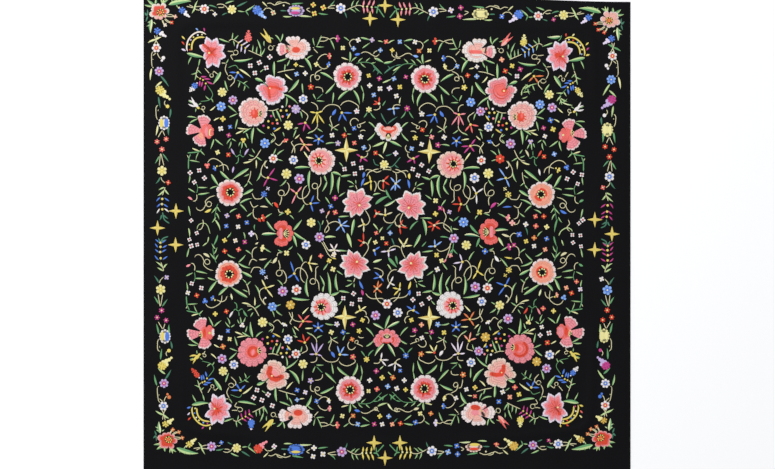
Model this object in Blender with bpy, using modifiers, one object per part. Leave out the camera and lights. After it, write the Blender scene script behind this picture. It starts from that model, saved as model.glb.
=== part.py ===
"""A square black silk shawl, embroidered with flowers, laid flat on a surface.

Metres, +Z up, +X to the right and +Y away from the viewer. The origin lies on the surface, under the
middle of the cloth. The embroidery mirrors about the two middle lines of the square, so one quarter is
charted, the far left one, and the other three repeat it with the small pull that the cloth shows there.
"""

import math

import bmesh
import bpy

MM = 0.001
CM = 0.01

# The cloth
SIDE = 1.400
HALF = SIDE / 2
CLOTH = 1.5 * MM
SEAM_GAP = 0.3 * MM
HEM_WIDTH = 4.0 * MM
HEM_EDGE = 1.1 * MM
HEM_CROWN = 2.2 * MM
PANEL_HALF = HALF - HEM_WIDTH - SEAM_GAP
MITRE = SEAM_GAP / math.sqrt(2)

# The far edge runs out of square: it drops towards both of its corners, and the near one a little
FAR_DROP_RIGHT = 27.0 * MM
FAR_DROP_LEFT = 4.0 * MM
FAR_PEAK = -0.1 * HALF
NEAR_DROP = 5.0 * MM

# The mesh of the panel: wide cells under the embroidery, narrow ones across the plain band
FIELD_CELL = 75.0 * MM
FIELD_CELLS = 7
BAND_STATIONS = [550.0 * MM, 583.0 * MM, 593.5 * MM, 604.0 * MM, 614.5 * MM, 625.0 * MM, 660.0 * MM]

# Soft swells of the plain band, which follow the rounded square between the field and the border
SWELL_AT = 604.0 * MM
SWELL_REACH = 21.0 * MM
SWELL_CORNER = 560.0 * MM
SWELLS = [
    # middle of its stretch in degrees, half its stretch, height
    (-45.0, 34.0, 3.0 * MM),
    (133.0, 26.0, 1.8 * MM),
    (47.0, 22.0, 2.2 * MM),
    (-136.0, 28.0, 2.0 * MM),
    (2.0, 17.0, 1.2 * MM),
    (-92.0, 13.0, 1.4 * MM),
    (176.0, 15.0, 1.0 * MM),
]

# The embroidery, raised on the cloth by its thick floss
PATTERN_Y = 8.6 * MM
FLOSS_EDGE = 0.5 * MM
FLOSS_CROWN = 1.1 * MM
CROWN_AT = 0.60
PULL_SPAN = 0.653
PULL_POWER = 1.5

QUARTERS = {
    # side across, side away, pull towards the middle across and away
    "far_left": (-1, 1, 0.0 * MM, 0.0 * MM),
    "far_right": (1, 1, 17.2 * MM, 23.0 * MM),
    "near_left": (-1, -1, 23.0 * MM, 46.0 * MM),
    "near_right": (1, -1, 31.6 * MM, 48.9 * MM),
}

# How far each large flower was worked off its charted place, in millimetres to the right and away
STRAYS = {
    # far left, far right, near left, near right
    "peony_side": [(-1.0, 0.5), (-6.4, -4.6), (-5.0, -3.6), (-2.0, 1.6)],
    "peony_mid": [(-0.4, -0.6), (-4.7, -9.8), (6.4, -5.9), (-5.9, -1.6)],
    "peony_far": [(0.0, 0.0), (-3.6, -6.0), (6.3, -3.9), (-4.4, -0.5)],
    "rose_round": [(0.5, 1.0), (6.5, -5.0), (-6.3, -4.3), (2.0, 5.0)],
    "lily_outer": [(0.0, 0.0), (2.6, 1.4), (4.7, -10.4), (-4.9, -8.2)],
    "lily_inner": [(0.0, 0.0), (-16.8, -7.0), (-7.6, -3.2), (-10.2, -7.6)],
    "field_star": [(0.0, 0.0), (6.6, -3.7), (-5.4, -4.6), (6.9, -7.0)],
    "peony_edge": [(0.0, 0.0), (-1.0, -2.5), (1.0, -5.0), (-1.0, 3.0)],
    "rose_heart": [(0.0, 0.0), (0.0, -1.0), (0.0, -5.0), (0.0, 0.0)],
    "iris": [(0.0, 0.0), (0.0, -6.0), (-3.0, -4.0), (-3.5, -1.0)],
    "corner_flower": [(0.0, 0.0), (3.8, -1.0), (1.0, -4.0), (-6.3, -2.0)],
}

# Round flowers: a rim of even scallops, two points on each besides the notch
SCALLOPED = {
    # middle from the pattern's centre: outwards, away; reach; scallops; all in centimetres but the last
    "peony_side": (45.15, 11.55, 3.95, 12),
    "peony_mid": (18.8, 20.7, 4.0, 12),
    "peony_far": (11.4, 45.0, 4.15, 12),
    "rose_round": (38.6, 34.7, 4.3, 12),
}
SCALLOP_NOTCH = 0.90
SCALLOP_SHOULDER = 0.995

# Pointed flowers: the direction in degrees and the reach in centimetres of each tip, on the left side
POINTED = {
    "lily_outer": (50.4, 51.9, 0.66, [
        (151.6, 4.2), (109.0, 4.9), (69.6, 4.6), (29.6, 4.3),
        (-16.3, 4.3), (-65.6, 4.8), (-105.8, 4.8), (-151.0, 3.6),
    ]),
    "lily_inner": (8.7, 8.5, 0.68, [
        (172.0, 4.3), (122.7, 4.65), (68.2, 4.85), (21.2, 5.0),
        (-9.5, 4.3), (-76.3, 3.8), (-112.0, 4.5), (-147.7, 4.5),
    ]),
    "field_star": (11.7, 23.8, 0.27, [(83.0, 3.2), (175.0, 3.4), (264.0, 3.7), (359.0, 3.5)]),
}
FLANK_SHARE = 0.44
FLANK_SHAPE = 1.15

# Open and folded flowers: petals as discs, on the left side, in centimetres from the flower's middle
PETALLED = {
    # outwards, away of the flower's middle; the reach where no petal stands; petals: right, away, radius
    "peony_edge": (26.6, 53.0, 1.6, [
        (-1.7, 2.7, 0.85), (-0.4, 2.9, 0.75), (0.9, 2.9, 0.75), (2.6, 1.7, 1.1), (3.5, 1.0, 1.0),
        (3.9, 0.0, 0.85), (3.1, -1.2, 0.8), (2.2, -2.1, 0.9), (1.0, -2.5, 0.8), (0.2, -2.6, 0.8),
        (-1.0, -2.4, 0.75), (-2.1, -2.1, 0.6), (-4.0, -1.2, 0.85), (-4.2, -0.2, 1.15), (-4.0, 0.8, 0.9),
    ]),
    "rose_heart": (32.8, 41.2, 2.0, [
        (-1.0, 3.2, 1.2), (-0.2, 3.1, 1.0), (1.5, 2.7, 1.2), (2.5, 2.2, 1.2), (3.4, 0.2, 1.0),
        (2.5, -1.8, 0.95), (1.2, -3.0, 1.0), (-0.1, -3.5, 1.0), (-1.1, -3.5, 0.9), (-2.4, -2.3, 0.9),
        (-3.2, -1.2, 0.85), (-4.0, 0.4, 1.0), (-3.2, 1.0, 0.8),
    ]),
    "iris": (53.0, 29.2, 1.3, [
        (0.5, 3.5, 1.75), (-0.4, 3.4, 1.2), (-2.7, 0.5, 1.6), (-3.7, 0.1, 1.3), (-4.3, 0.0, 0.9),
        (-1.0, -2.3, 1.7), (-0.3, -3.3, 1.35), (1.4, 0.1, 2.2), (1.9, 0.9, 1.5), (1.9, -0.8, 1.5),
    ]),
    "corner_flower": (65.4, 63.6, 1.4, [
        (-1.5, 1.4, 1.1), (-0.5, 1.7, 0.85), (1.1, 1.7, 1.0), (2.0, 0.1, 1.0), (1.4, -1.1, 0.8),
        (0.2, -1.3, 1.1), (-0.8, -1.2, 1.0), (-2.0, -0.7, 1.1), (-1.8, 0.6, 0.8),
    ]),
}
PETAL_POINTS = 52

# The four flowers that stand on the middle lines, with their own strays
MIDDLE_FLOWERS = [
    # name, right and away of the middle in centimetres, mirror across and away, stray right and away, silk
    ("poppy_left", -29.9, 0.0, (1, 1), (1.0, -1.0), "coral_red"),
    ("poppy_right", 29.9, 0.0, (-1, 1), (-6.0, 4.0), "coral_red"),
    ("half_rose_far", 0.0, 29.3, (1, 1), (4.0, 0.0), "ivory_pink"),
    ("half_rose_near", 0.0, -29.3, (1, -1), (0.0, -11.0), "coral_red"),
]
POPPY = (1.2, [
    (2.0, 0.0, 1.0), (1.5, 1.35, 1.05), (1.5, -1.35, 1.05), (0.1, 2.6, 1.15), (0.3, -2.6, 1.1),
    (-1.0, 2.65, 1.05), (-1.6, 2.1, 1.1), (-0.5, -2.8, 1.1), (-1.5, -2.4, 1.15), (-0.9, 0.0, 1.05),
])
HALF_ROSE = (1.5, [
    (2.6, 1.5, 0.9), (-2.6, 1.5, 0.9), (3.1, 0.5, 0.95), (-3.1, 0.5, 0.95), (2.5, -0.5, 0.9),
    (-2.5, -0.5, 0.9), (1.6, -1.7, 0.85), (-1.6, -1.7, 0.85), (0.0, -2.2, 0.8),
])

# Colours of the silks by what is worked in them, with their sheen as roughness
SILKS = {
    "black_crepe": ("18181b", 0.62),
    "black_hem": ("141417", 0.58),
    "pink_rose": ("e98a97", 0.42),
    "coral_red": ("e0503f", 0.42),
    "peach_pink": ("eda596", 0.42),
    "ivory_pink": ("ecc6c4", 0.42),
    "pale_gold": ("d9ca80", 0.40),
}
SILK_OF = {
    # the silk that shows most, in the order of the quarters
    "peony_side": ["peach_pink", "peach_pink", "coral_red", "peach_pink"],
    "peony_mid": ["ivory_pink", "peach_pink", "ivory_pink", "ivory_pink"],
    "peony_far": ["pink_rose", "pink_rose", "pink_rose", "pink_rose"],
    "rose_round": ["ivory_pink", "ivory_pink", "coral_red", "coral_red"],
    "lily_outer": ["pink_rose", "pink_rose", "pink_rose", "pink_rose"],
    "lily_inner": ["pink_rose", "pink_rose", "pink_rose", "pink_rose"],
    "field_star": ["pale_gold", "pale_gold", "pale_gold", "pale_gold"],
    "peony_edge": ["ivory_pink", "ivory_pink", "peach_pink", "peach_pink"],
    "rose_heart": ["pink_rose", "pink_rose", "peach_pink", "ivory_pink"],
    "iris": ["coral_red", "coral_red", "coral_red", "coral_red"],
    "corner_flower": ["coral_red", "ivory_pink", "coral_red", "coral_red"],
}


def smooth_step(t):
    """0 up to t = 0 and 1 from t = 1, with level ends."""
    t = min(1.0, max(0.0, t))
    return t * t * (3 - 2 * t)


def far_edge(x):
    """The outer line of the far hem."""
    right = smooth_step((x - FAR_PEAK) / (HALF - FAR_PEAK))
    left = smooth_step((FAR_PEAK - x) / (HALF + FAR_PEAK))
    return HALF - FAR_DROP_RIGHT * right - FAR_DROP_LEFT * left


def near_edge(x):
    """The outer line of the near hem."""
    return -HALF + NEAR_DROP * smooth_step(abs(x) / HALF)


def laid(u, v):
    """Where a point of the straight pattern falls on the cloth as it lies, pulled in at the corners."""
    share = (abs(u) * abs(v) / PULL_SPAN ** 2) ** PULL_POWER
    for side, depth, pull_x, pull_y in QUARTERS.values():
        if side * u > 0 and depth * v > 0:
            return u - side * pull_x * share, PATTERN_Y + v - depth * pull_y * share
    return u, PATTERN_Y + v


def lift(u, v):
    """How high the underside of the cloth stands, at a point of the pattern, above what it lies on."""
    across, away = abs(u), abs(v)
    if across > SWELL_CORNER and away > SWELL_CORNER:
        distance = SWELL_CORNER + math.hypot(across - SWELL_CORNER, away - SWELL_CORNER)
    else:
        distance = max(across, away)
    off = abs(distance - SWELL_AT) / SWELL_REACH
    if off >= 1:
        return 0.0
    profile = math.cos(math.pi / 2 * off) ** 2
    direction = math.degrees(math.atan2(v, u))
    height = 0.0
    for middle, stretch, top in SWELLS:
        turn = abs((direction - middle + 180) % 360 - 180) / stretch
        if turn < 1:
            height += top * math.cos(math.pi / 2 * turn) ** 2
    return height * profile


def silk(name, cache={}):
    """The material of one silk, made once."""
    if name in cache:
        return cache[name]
    colour, roughness = SILKS[name]
    levels = [int(colour[k:k + 2], 16) / 255 for k in (0, 2, 4)]
    linear = [c / 12.92 if c <= 0.04045 else ((c + 0.055) / 1.055) ** 2.4 for c in levels]
    material = bpy.data.materials.new(name)
    material.use_nodes = True
    shader = material.node_tree.nodes["Principled BSDF"]
    shader.inputs["Base Color"].default_value = (*linear, 1.0)
    shader.inputs["Roughness"].default_value = roughness
    shader.inputs["Metallic"].default_value = 0.0
    cache[name] = material
    return material


def add_object(name, bm, silk_name, collection):
    """Turns a finished bmesh into a named object of the shawl."""
    mesh = bpy.data.meshes.new(name)
    bm.to_mesh(mesh)
    bm.free()
    mesh.materials.append(silk(silk_name))
    mesh.shade_smooth()
    mesh.set_sharp_from_angle(angle=math.radians(40))
    thing = bpy.data.objects.new(name, mesh)
    collection.objects.link(thing)
    return thing


def raise_faces(bm):
    """Extrudes all faces into a closed body and returns the faces of its top."""
    raised = bmesh.ops.extrude_face_region(bm, geom=bm.faces[:])
    return [part for part in raised["geom"] if isinstance(part, bmesh.types.BMFace)]


def face_outwards(bm):
    """Points the faces of a closed body out, whichever quarter it was mirrored into."""
    bmesh.ops.recalc_face_normals(bm, faces=bm.faces[:])
    if bm.calc_volume(signed=True) < 0:
        bmesh.ops.reverse_faces(bm, faces=bm.faces[:])


def side_stations():
    """Where the lines of the panel's mesh cross one side, from one edge to the other."""
    half = [k * FIELD_CELL for k in range(1, FIELD_CELLS + 1)] + BAND_STATIONS + [PANEL_HALF]
    return [-s for s in reversed(half)] + [0.0] + half


def panel_point(u, v):
    """A point of the panel at two stations: laid like the pattern, and led out to the seams at its sides."""
    last = BAND_STATIONS[-1]
    inner_u, inner_v = max(-last, min(last, u)), max(-last, min(last, v))
    x, y = laid(inner_u, inner_v)
    to_side = (abs(u) - abs(inner_u)) / (PANEL_HALF - last)
    x += (math.copysign(PANEL_HALF, u) - x) * to_side
    to_edge = (abs(v) - abs(inner_v)) / (PANEL_HALF - last)
    inset = HEM_WIDTH + SEAM_GAP
    edge = far_edge(x) - inset if v > 0 else near_edge(x) + inset
    y += (edge - y) * to_edge
    return x, y


def make_panel(collection):
    """The silk square, a wall that grows upwards from an underside which rests flat."""
    stations = side_stations()
    cells = len(stations) - 1
    bm = bmesh.new()
    bmesh.ops.create_grid(bm, x_segments=cells, y_segments=cells, size=1.0)
    for vert in bm.verts:
        column = round((vert.co.x + 1) / 2 * cells)
        row = round((vert.co.y + 1) / 2 * cells)
        x, y = panel_point(stations[column], stations[row])
        vert.co = (x, y, lift(stations[column], stations[row]))
    panel = add_object("panel", bm, "black_crepe", collection)
    wall = panel.modifiers.new("wall", "SOLIDIFY")
    wall.thickness = CLOTH
    wall.offset = 1.0
    wall.use_even_offset = True
    return panel


def make_hem(name, line, collection):
    """A rolled hem: a strip with a crown along its middle. line(t, v) gives a point of it, with t along the
    side's stations and v from 0 on the outer line to 1 on the seam."""
    cells = len(side_stations()) - 1
    bm = bmesh.new()
    bmesh.ops.create_grid(bm, x_segments=cells, y_segments=2, size=1.0)
    for face in raise_faces(bm):
        for vert in face.verts:
            vert.co.z = HEM_CROWN if abs(vert.co.y) < 0.5 else HEM_EDGE
    for vert in bm.verts:
        column = round((vert.co.x + 1) / 2 * cells)
        x, y = line(column, (1 - vert.co.y) / 2)
        vert.co = (x, y, vert.co.z)
    face_outwards(bm)
    return add_object(name, bm, "black_hem", collection)


def make_hems(collection):
    """Four hems, mitred where they meet, with the panel's own stations along each."""
    stations = side_stations()
    last = len(stations) - 1

    def level(edge, row, inwards):
        def line(column, v):
            x = panel_point(stations[column], stations[row])[0]
            if column in (0, last):
                x = math.copysign(HALF - v * HEM_WIDTH - MITRE, x)
            return x, edge(x) + inwards * v * HEM_WIDTH
        return line

    def upright(side, column_of_side):
        def line(row, v):
            x = side * (HALF - v * HEM_WIDTH)
            if row == 0:
                return x, near_edge(side * HALF) + v * HEM_WIDTH + MITRE
            if row == last:
                return x, far_edge(side * HALF) - v * HEM_WIDTH - MITRE
            return x, panel_point(stations[column_of_side], stations[row])[1]
        return line

    make_hem("hem_far", level(far_edge, last, -1), collection)
    make_hem("hem_near", level(near_edge, 0, 1), collection)
    make_hem("hem_left", upright(-1, 0), collection)
    make_hem("hem_right", upright(1, last), collection)


def scalloped_rim(reach, scallops):
    """The rim of a round flower, as a function of the turn from 0 to 1, and its number of points."""
    def rim(turn):
        step = (turn * scallops * 3) % 3
        share = SCALLOP_NOTCH if step < 0.5 or step > 2.5 else SCALLOP_SHOULDER
        angle = math.tau * turn
        return reach * share * math.cos(angle), reach * share * math.sin(angle)
    return rim, scallops * 3


def pointed_rim(notch, tips):
    """The rim of a flower or star with pointed petals: tip, flank, notch and flank for each."""
    count = len(tips)

    def rim(turn):
        quarter = round(turn * count * 4)
        k, step = quarter // 4 % count, quarter % 4
        angle, reach = tips[k]
        next_angle, next_reach = tips[(k + 1) % count]
        swing = (next_angle - angle) % 360
        if swing > 180:
            swing -= 360
        low = notch * (reach + next_reach) / 2
        share = (0.0, FLANK_SHARE / 2, 0.5, 1 - FLANK_SHARE / 2)[step]
        radius = (reach, (reach + low) / 2 * FLANK_SHAPE, low, (next_reach + low) / 2 * FLANK_SHAPE)[step]
        direction = math.radians(angle + swing * share)
        return radius * math.cos(direction), radius * math.sin(direction)
    return rim, count * 4


def petalled_rim(least, petals):
    """The rim round a flower's petals, each a disc, as far out as any of them reaches."""
    def rim(turn):
        angle = math.tau * turn
        right, away = math.cos(angle), math.sin(angle)
        reach = least
        for px, py, radius in petals:
            along = px * right + py * away
            aside = px * away - py * right
            if abs(aside) < radius:
                reach = max(reach, along + math.sqrt(radius ** 2 - aside ** 2))
        return reach * right, reach * away
    return rim, PETAL_POINTS


def make_flower(name, u, v, stray, mirror, rim, points, silk_name, collection):
    """One embroidered flower near its point of the pattern: a low pad of floss on the cloth, flat underneath,
    with a soft crown."""
    off_x, off_y = stray[0] * MM, stray[1] * MM
    middle_x, middle_y = laid(u, v)
    middle_x += off_x
    middle_y += off_y
    bm = bmesh.new()
    bmesh.ops.create_circle(bm, cap_ends=True, segments=points, radius=1.0)
    top = raise_faces(bm)
    for vert in top[0].verts:
        vert.co.z = FLOSS_EDGE
    bmesh.ops.inset_region(bm, faces=top, thickness=1 - CROWN_AT)
    for vert in top[0].verts:
        vert.co.z = FLOSS_CROWN
    for vert in bm.verts:
        share = min(1.0, math.hypot(vert.co.x, vert.co.y))
        share = 1.0 if share > (1 + CROWN_AT) / 2 else CROWN_AT
        turn = math.atan2(vert.co.y, vert.co.x) / math.tau % 1.0
        turn = round(turn * points) / points
        right, away = rim(turn)
        dx = mirror[0] * right * CM * share
        dy = mirror[1] * away * CM * share
        base = lift(u + off_x + dx, v + off_y + dy) + CLOTH + SEAM_GAP
        vert.co = (middle_x + dx, middle_y + dy, base + vert.co.z)
    face_outwards(bm)
    return add_object(name, bm, silk_name, collection)


def make_quarter_flowers(collection):
    """The eleven large flowers of the chart, in each of the four quarters."""
    rims = {}
    for kind, (out, away, reach, scallops) in SCALLOPED.items():
        rims[kind] = (out, away, *scalloped_rim(reach, scallops))
    for kind, (out, away, notch, tips) in POINTED.items():
        rims[kind] = (out, away, *pointed_rim(notch, tips))
    for kind, (out, away, least, petals) in PETALLED.items():
        rims[kind] = (out, away, *petalled_rim(least, petals))
    for kind, (out, away, rim, points) in rims.items():
        for k, (quarter, (side, depth, _, _)) in enumerate(QUARTERS.items()):
            u, v = side * out * CM, depth * away * CM
            make_flower(f"{kind}_{quarter}", u, v, STRAYS[kind][k], (-side, depth), rim, points,
                        SILK_OF[kind][k], collection)


def make_middle_flowers(collection):
    """The poppies on the middle line across, and the folded roses on the one away."""
    for name, right, away, mirror, stray, colour in MIDDLE_FLOWERS:
        rim, points = petalled_rim(*(POPPY if name.startswith("poppy") else HALF_ROSE))
        make_flower(name, right * CM, away * CM, stray, mirror, rim, points, colour, collection)


def main():
    for thing in list(bpy.data.objects):
        bpy.data.objects.remove(thing)
    collection = bpy.data.collections.new("embroidered_shawl")
    bpy.context.scene.collection.children.link(collection)
    make_panel(collection)
    make_hems(collection)
    make_quarter_flowers(collection)
    make_middle_flowers(collection)


main()
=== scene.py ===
"""A square black silk shawl, embroidered in coloured floss, laid flat on a pale floor.

Metres, +Z up, +Y away from the viewer. The charts are in centimetres from the middle of the pattern and give
its far left quarter; the other quarters repeat it in mirror image, each with its own silks and small strays.
"""

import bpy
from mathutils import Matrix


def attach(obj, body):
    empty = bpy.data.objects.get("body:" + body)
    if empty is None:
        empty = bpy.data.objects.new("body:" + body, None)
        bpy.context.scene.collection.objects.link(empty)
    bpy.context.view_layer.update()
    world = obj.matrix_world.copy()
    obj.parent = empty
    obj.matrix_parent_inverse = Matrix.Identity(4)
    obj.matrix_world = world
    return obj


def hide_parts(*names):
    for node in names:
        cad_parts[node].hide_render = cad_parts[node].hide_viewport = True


bl_info = {
    "name": "Embroidered Shawl",
    "version": (1, 0, 0),
    "blender": (4, 5, 0),
    "location": "3D Viewport > Sidebar > Shawl",
    "description": "Makes a square silk shawl with embroidered flowers, leaves and tendrils",
    "category": "Object",
}

import math

import bmesh
import bpy
import numpy as np

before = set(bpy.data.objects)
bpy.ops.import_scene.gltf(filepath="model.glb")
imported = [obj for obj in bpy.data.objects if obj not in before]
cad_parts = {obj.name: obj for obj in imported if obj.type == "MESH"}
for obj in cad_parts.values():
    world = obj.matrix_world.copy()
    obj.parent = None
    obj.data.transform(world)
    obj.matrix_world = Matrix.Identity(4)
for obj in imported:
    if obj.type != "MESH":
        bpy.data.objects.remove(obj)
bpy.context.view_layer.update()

MM = 0.001
CM = 0.01
SUNK = 0.12  # millimetres that stitched work reaches into the crepe

# The cloth as it lies: pulled in at its corners, with soft swells in the plain band round the field
PULL_SPAN = 0.653
PULL_POWER = 1.5
PATTERN_Y = 8.6 * MM
SWELL_AT = 604.0 * MM
SWELL_REACH = 21.0 * MM
SWELL_CORNER = 560.0 * MM
HEM_WIDTH = 4.0 * MM
SEAM_GAP = 0.3 * MM
TUCK = 2.0 * MM  # how far the crepe's edge runs into its hems
TUCK_WALL = 0.9 * MM
CREPE_CELLS = 190
PATTERN_END = 0.660  # past this line the cloth goes over to its straight edges
FAR_PEAK = -0.1  # where the far edge is furthest away, as a share of half a side
FAR_FALLS = (4.0 * MM, 27.0 * MM)  # how far it comes back to the left and to the right corner
NEAR_RISE = 5.0 * MM
SWELLS = [
    # middle of its stretch in degrees, half its stretch, height in millimetres
    (-45.0, 34.0, 3.0), (133.0, 26.0, 1.8), (47.0, 22.0, 2.2), (-136.0, 28.0, 2.0),
    (2.0, 17.0, 1.2), (-92.0, 13.0, 1.4), (176.0, 15.0, 1.0),
]
# Each quarter's mirror, across and away
QUARTERS = {"far_left": (1, 1), "far_right": (-1, 1), "near_left": (1, -1), "near_right": (-1, -1)}
# How far each quarter's corner is pulled towards the middle, across and away, in millimetres
PULLS = np.array([(0.0, 0.0), (17.2, 23.0), (23.0, 46.0), (31.6, 48.9)])
LARGE_FLOWERS = {
    # centimetres right and away of the pattern's middle, in the far left quarter, then how far the flower
    # strays to the right and away in each quarter, in millimetres
    "peony_side": (-45.15, 11.55, [(-1.0, 0.5), (-6.4, -4.6), (-5.0, -3.6), (-2.0, 1.6)]),
    "peony_mid": (-18.8, 20.7, [(-0.4, -0.6), (-4.7, -9.8), (6.4, -5.9), (-5.9, -1.6)]),
    "peony_far": (-11.4, 45.0, [(0.0, 0.0), (-3.6, -6.0), (6.3, -3.9), (-4.4, -0.5)]),
    "rose_round": (-38.6, 34.7, [(0.5, 1.0), (6.5, -5.0), (-6.3, -4.3), (2.0, 5.0)]),
    "lily_outer": (-50.4, 51.9, [(0.0, 0.0), (2.6, 1.4), (4.7, -10.4), (-4.9, -8.2)]),
    "lily_inner": (-8.7, 8.5, [(0.0, 0.0), (-16.8, -7.0), (-7.6, -3.2), (-10.2, -7.6)]),
    "field_star": (-11.7, 23.8, [(0.0, 0.0), (6.6, -3.7), (-5.4, -4.6), (6.9, -7.0)]),
    "peony_edge": (-26.6, 53.0, [(0.0, 0.0), (-1.0, -2.5), (1.0, -5.0), (-1.0, 3.0)]),
    "rose_heart": (-32.8, 41.2, [(0.0, 0.0), (0.0, -1.0), (0.0, -5.0), (0.0, 0.0)]),
    "iris": (-53.0, 29.2, [(0.0, 0.0), (0.0, -6.0), (-3.0, -4.0), (-3.5, -1.0)]),
    "corner_flower": (-65.4, 63.6, [(0.0, 0.0), (3.8, -1.0), (1.0, -4.0), (-6.3, -2.0)]),
}
# Places in the far left quarter in centimetres, then millimetres to the right and away in the other three
SMALL_STRAYS = """
-64.8 7.5 -14 -21 -6 27 -11 17; -64.8 12.3 -8 -15 -6 22 -9 19; -64.7 15 -7 -11 -7 11 -9 4
-64.7 17.9 -5 -14 -7 10 -9 8; -64.7 25.5 -4 -17 -6 8 -7 8; -64.1 31.6 -2 -12 -5 4 -7 5
-64 36.4 1 -17 -5 8 -6 8; -65.2 40.9 2 -16 -5 6 -8 5; -65.5 46.5 0 -10 0 5 -8 3; -66 53.2 -2 -6 3 0 -12 0
-66 58.1 0 -2 4 -8 -10 0; -5.7 65 -1 -6 -3 17 1 19; -13.3 64.6 2 -8 1 13 -1 15; -20 64.2 3 -4 -5 5 -3 11
-26.2 64 11 -4 -5 5 -5 13; -32.7 63.5 9 -3 -5 4 -2 10; -37.3 64 13 -3 -7 1 5 8; -44.6 64.2 -2 -6 1 -1 -9 6
-50.8 63.8 -6 -1 5 -2 -11 3; -59 64 5 -1 1 -6 -5 5; -21.9 42 5 1 -3 -10 3 8; -46 5 -9 -2 -7 -3 -5 2
-24.1 38.5 1 -7 -3 4 4 8; -26.9 21 3 0 -10 1 5 11; -44.3 38.2 1 -7 -3 -8 -5 0; -28.4 31 10 -3 -3 0 2 6
-25.2 15.6 0 3 -9 -9 3 -1; -47.4 40.5 -3 0 -4 -6 -6 1; -47.7 36.4 2 3 -3 -10 -1 1
-12.7 53.2 -4 -6 -3 3 1 10; -32.7 21.4 -1 1 -4 -1 -1 3; -35.1 25.8 6 1 -9 -3 0 7; -28.9 17 3 2 -12 1 1 10
-48.7 23.2 -4 -2 -10 -7 -4 1; -28.5 6.1 -19 -1 -4 3 -3 8; -51.7 19.4 2 -3 -9 -7 -5 3
-26.8 42.4 4 -6 -1 8 -2 10; -47.8 30 3 3 -6 -10 -6 3; -8.7 35 14 -8 -12 -7 12 1; -15.8 28.1 7 -5 -3 -6 7 -7
-32.3 47.1 -4 -5 -1 1 -8 6; -23.5 45.9 -1 -3 -3 -5 -3 3; -52.5 15.8 -6 0 -11 -4 -7 -4
-48.8 44.6 11 -3 -8 -6 -5 0; -30.2 49.8 -4 2 5 -4 -11 15; -55.1 51.2 4 1 1 -4 -6 0
-16.2 14.4 -11 -12 -8 -4 -4 -5; -26.2 35.6 9 -4 -2 4 5 12; -20.1 34.5 7 -3 -4 -6 6 -5
-46.5 16.6 -3 -7 -6 -5 2 9; -41.5 50 -7 -4 5 -7 -4 2; -56.6 17.3 -4 -3 -9 -4 -7 6; -8.9 39.1 6 -6 -4 -2 10 5
-5.2 35.5 6 4 -7 -9 2 2"""
MIDDLE_FLOWERS = [
    # name, kind, which of its looks, slot, right and away, mirror across and away, stray right and away
    ("poppy_left", "poppy", 0, "coral_red", -29.9, 0.0, 1, 1, 1.0, -1.0),
    ("poppy_right", "poppy", 0, "coral_red", 29.9, 0.0, -1, 1, -6.0, 4.0),
    ("half_rose_far", "half_rose", 0, "ivory_pink", 0.0, 29.3, 1, 1, 4.0, 0.0),
    ("half_rose_near", "half_rose", 1, "coral_red", 0.0, -29.3, 1, -1, 0.0, -11.0),
]

SILKS = {
    # letter in the charts: name and colour
    "W": ("white", "ebe5e3"), "I": ("ivory", "eddfd0"), "i": ("shell", "efcbb9"), "P": ("pink", "f08f98"),
    "p": ("pale_pink", "f3b5a8"), "Q": ("lilac_white", "eaddea"), "K": ("coral", "ef6c66"),
    "k": ("peach", "f6a288"), "R": ("scarlet", "e0452b"), "r": ("deep_red", "a92a20"),
    "O": ("orange", "e07c45"), "o": ("amber", "d8b04c"), "Y": ("yellow", "e3cf62"),
    "y": ("pale_yellow", "ebe39c"), "g": ("gold", "d6bd63"), "G": ("green", "649f68"),
    "D": ("dark_green", "427b60"), "L": ("light_green", "bdd592"), "l": ("cream_green", "dfe5b0"),
    "C": ("cream", "d9d2a6"), "B": ("blue", "4d7ddb"), "b": ("light_blue", "86aeee"),
    "V": ("lilac", "c4aedb"), "v": ("pale_lilac", "e3d6ec"), "M": ("magenta", "c33a88"),
    "N": ("black", "151517"), "S": ("misty_pink", "f1e2de"),
}


def linear(colour):
    """A colour written as six sRGB hex digits, as linear red, green, blue and alpha."""
    levels = [int(colour[k:k + 2], 16) / 255 for k in (0, 2, 4)]
    return tuple(c / 12.92 if c <= 0.04045 else ((c + 0.055) / 1.055) ** 2.4 for c in levels) + (1.0,)


def tone(letter):
    """The silk that a letter of the charts stands for, as the user has set it."""
    return np.array(getattr(bpy.context.scene.shawl_silks, SILKS[letter][0])[:3])


def laid(u, v):
    """Where points of the straight pattern fall on the cloth as it lies, in metres."""
    share = (np.abs(u * v) / PULL_SPAN ** 2) ** PULL_POWER
    pull = PULLS[2 * (v <= 0) + (u >= 0)] * MM
    return u - np.sign(u) * pull[:, 0] * share, PATTERN_Y + v - np.sign(v) * pull[:, 1] * share


def lift(u, v):
    """How high the underside of the cloth stands at points of the pattern."""
    across, away = np.abs(u), np.abs(v)
    round_corner = SWELL_CORNER + np.hypot(across - SWELL_CORNER, away - SWELL_CORNER)
    at_corner = (across > SWELL_CORNER) & (away > SWELL_CORNER)
    distance = np.where(at_corner, round_corner, np.maximum(across, away))
    off = np.minimum(np.abs(distance - SWELL_AT) / SWELL_REACH, 1.0)
    direction = np.degrees(np.arctan2(v, u))
    height = 0.0
    for middle, stretch, top in SWELLS:
        turn = np.minimum(np.abs((direction - middle + 180) % 360 - 180) / stretch, 1.0)
        height = height + top * MM * np.cos(math.pi / 2 * turn) ** 2
    return height * np.cos(math.pi / 2 * off) ** 2


def entries(chart):
    """The rows of a chart, each as a list of its words."""
    return [row.split() for row in chart.replace("\n", ";").split(";") if row.strip()]


def rows(chart):
    """The rows of a chart, each as its numbers and its words."""
    for words in entries(chart):
        yield [float(w) for w in words if not w[0].isalpha()], [w for w in words if w[0].isalpha()]


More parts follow.
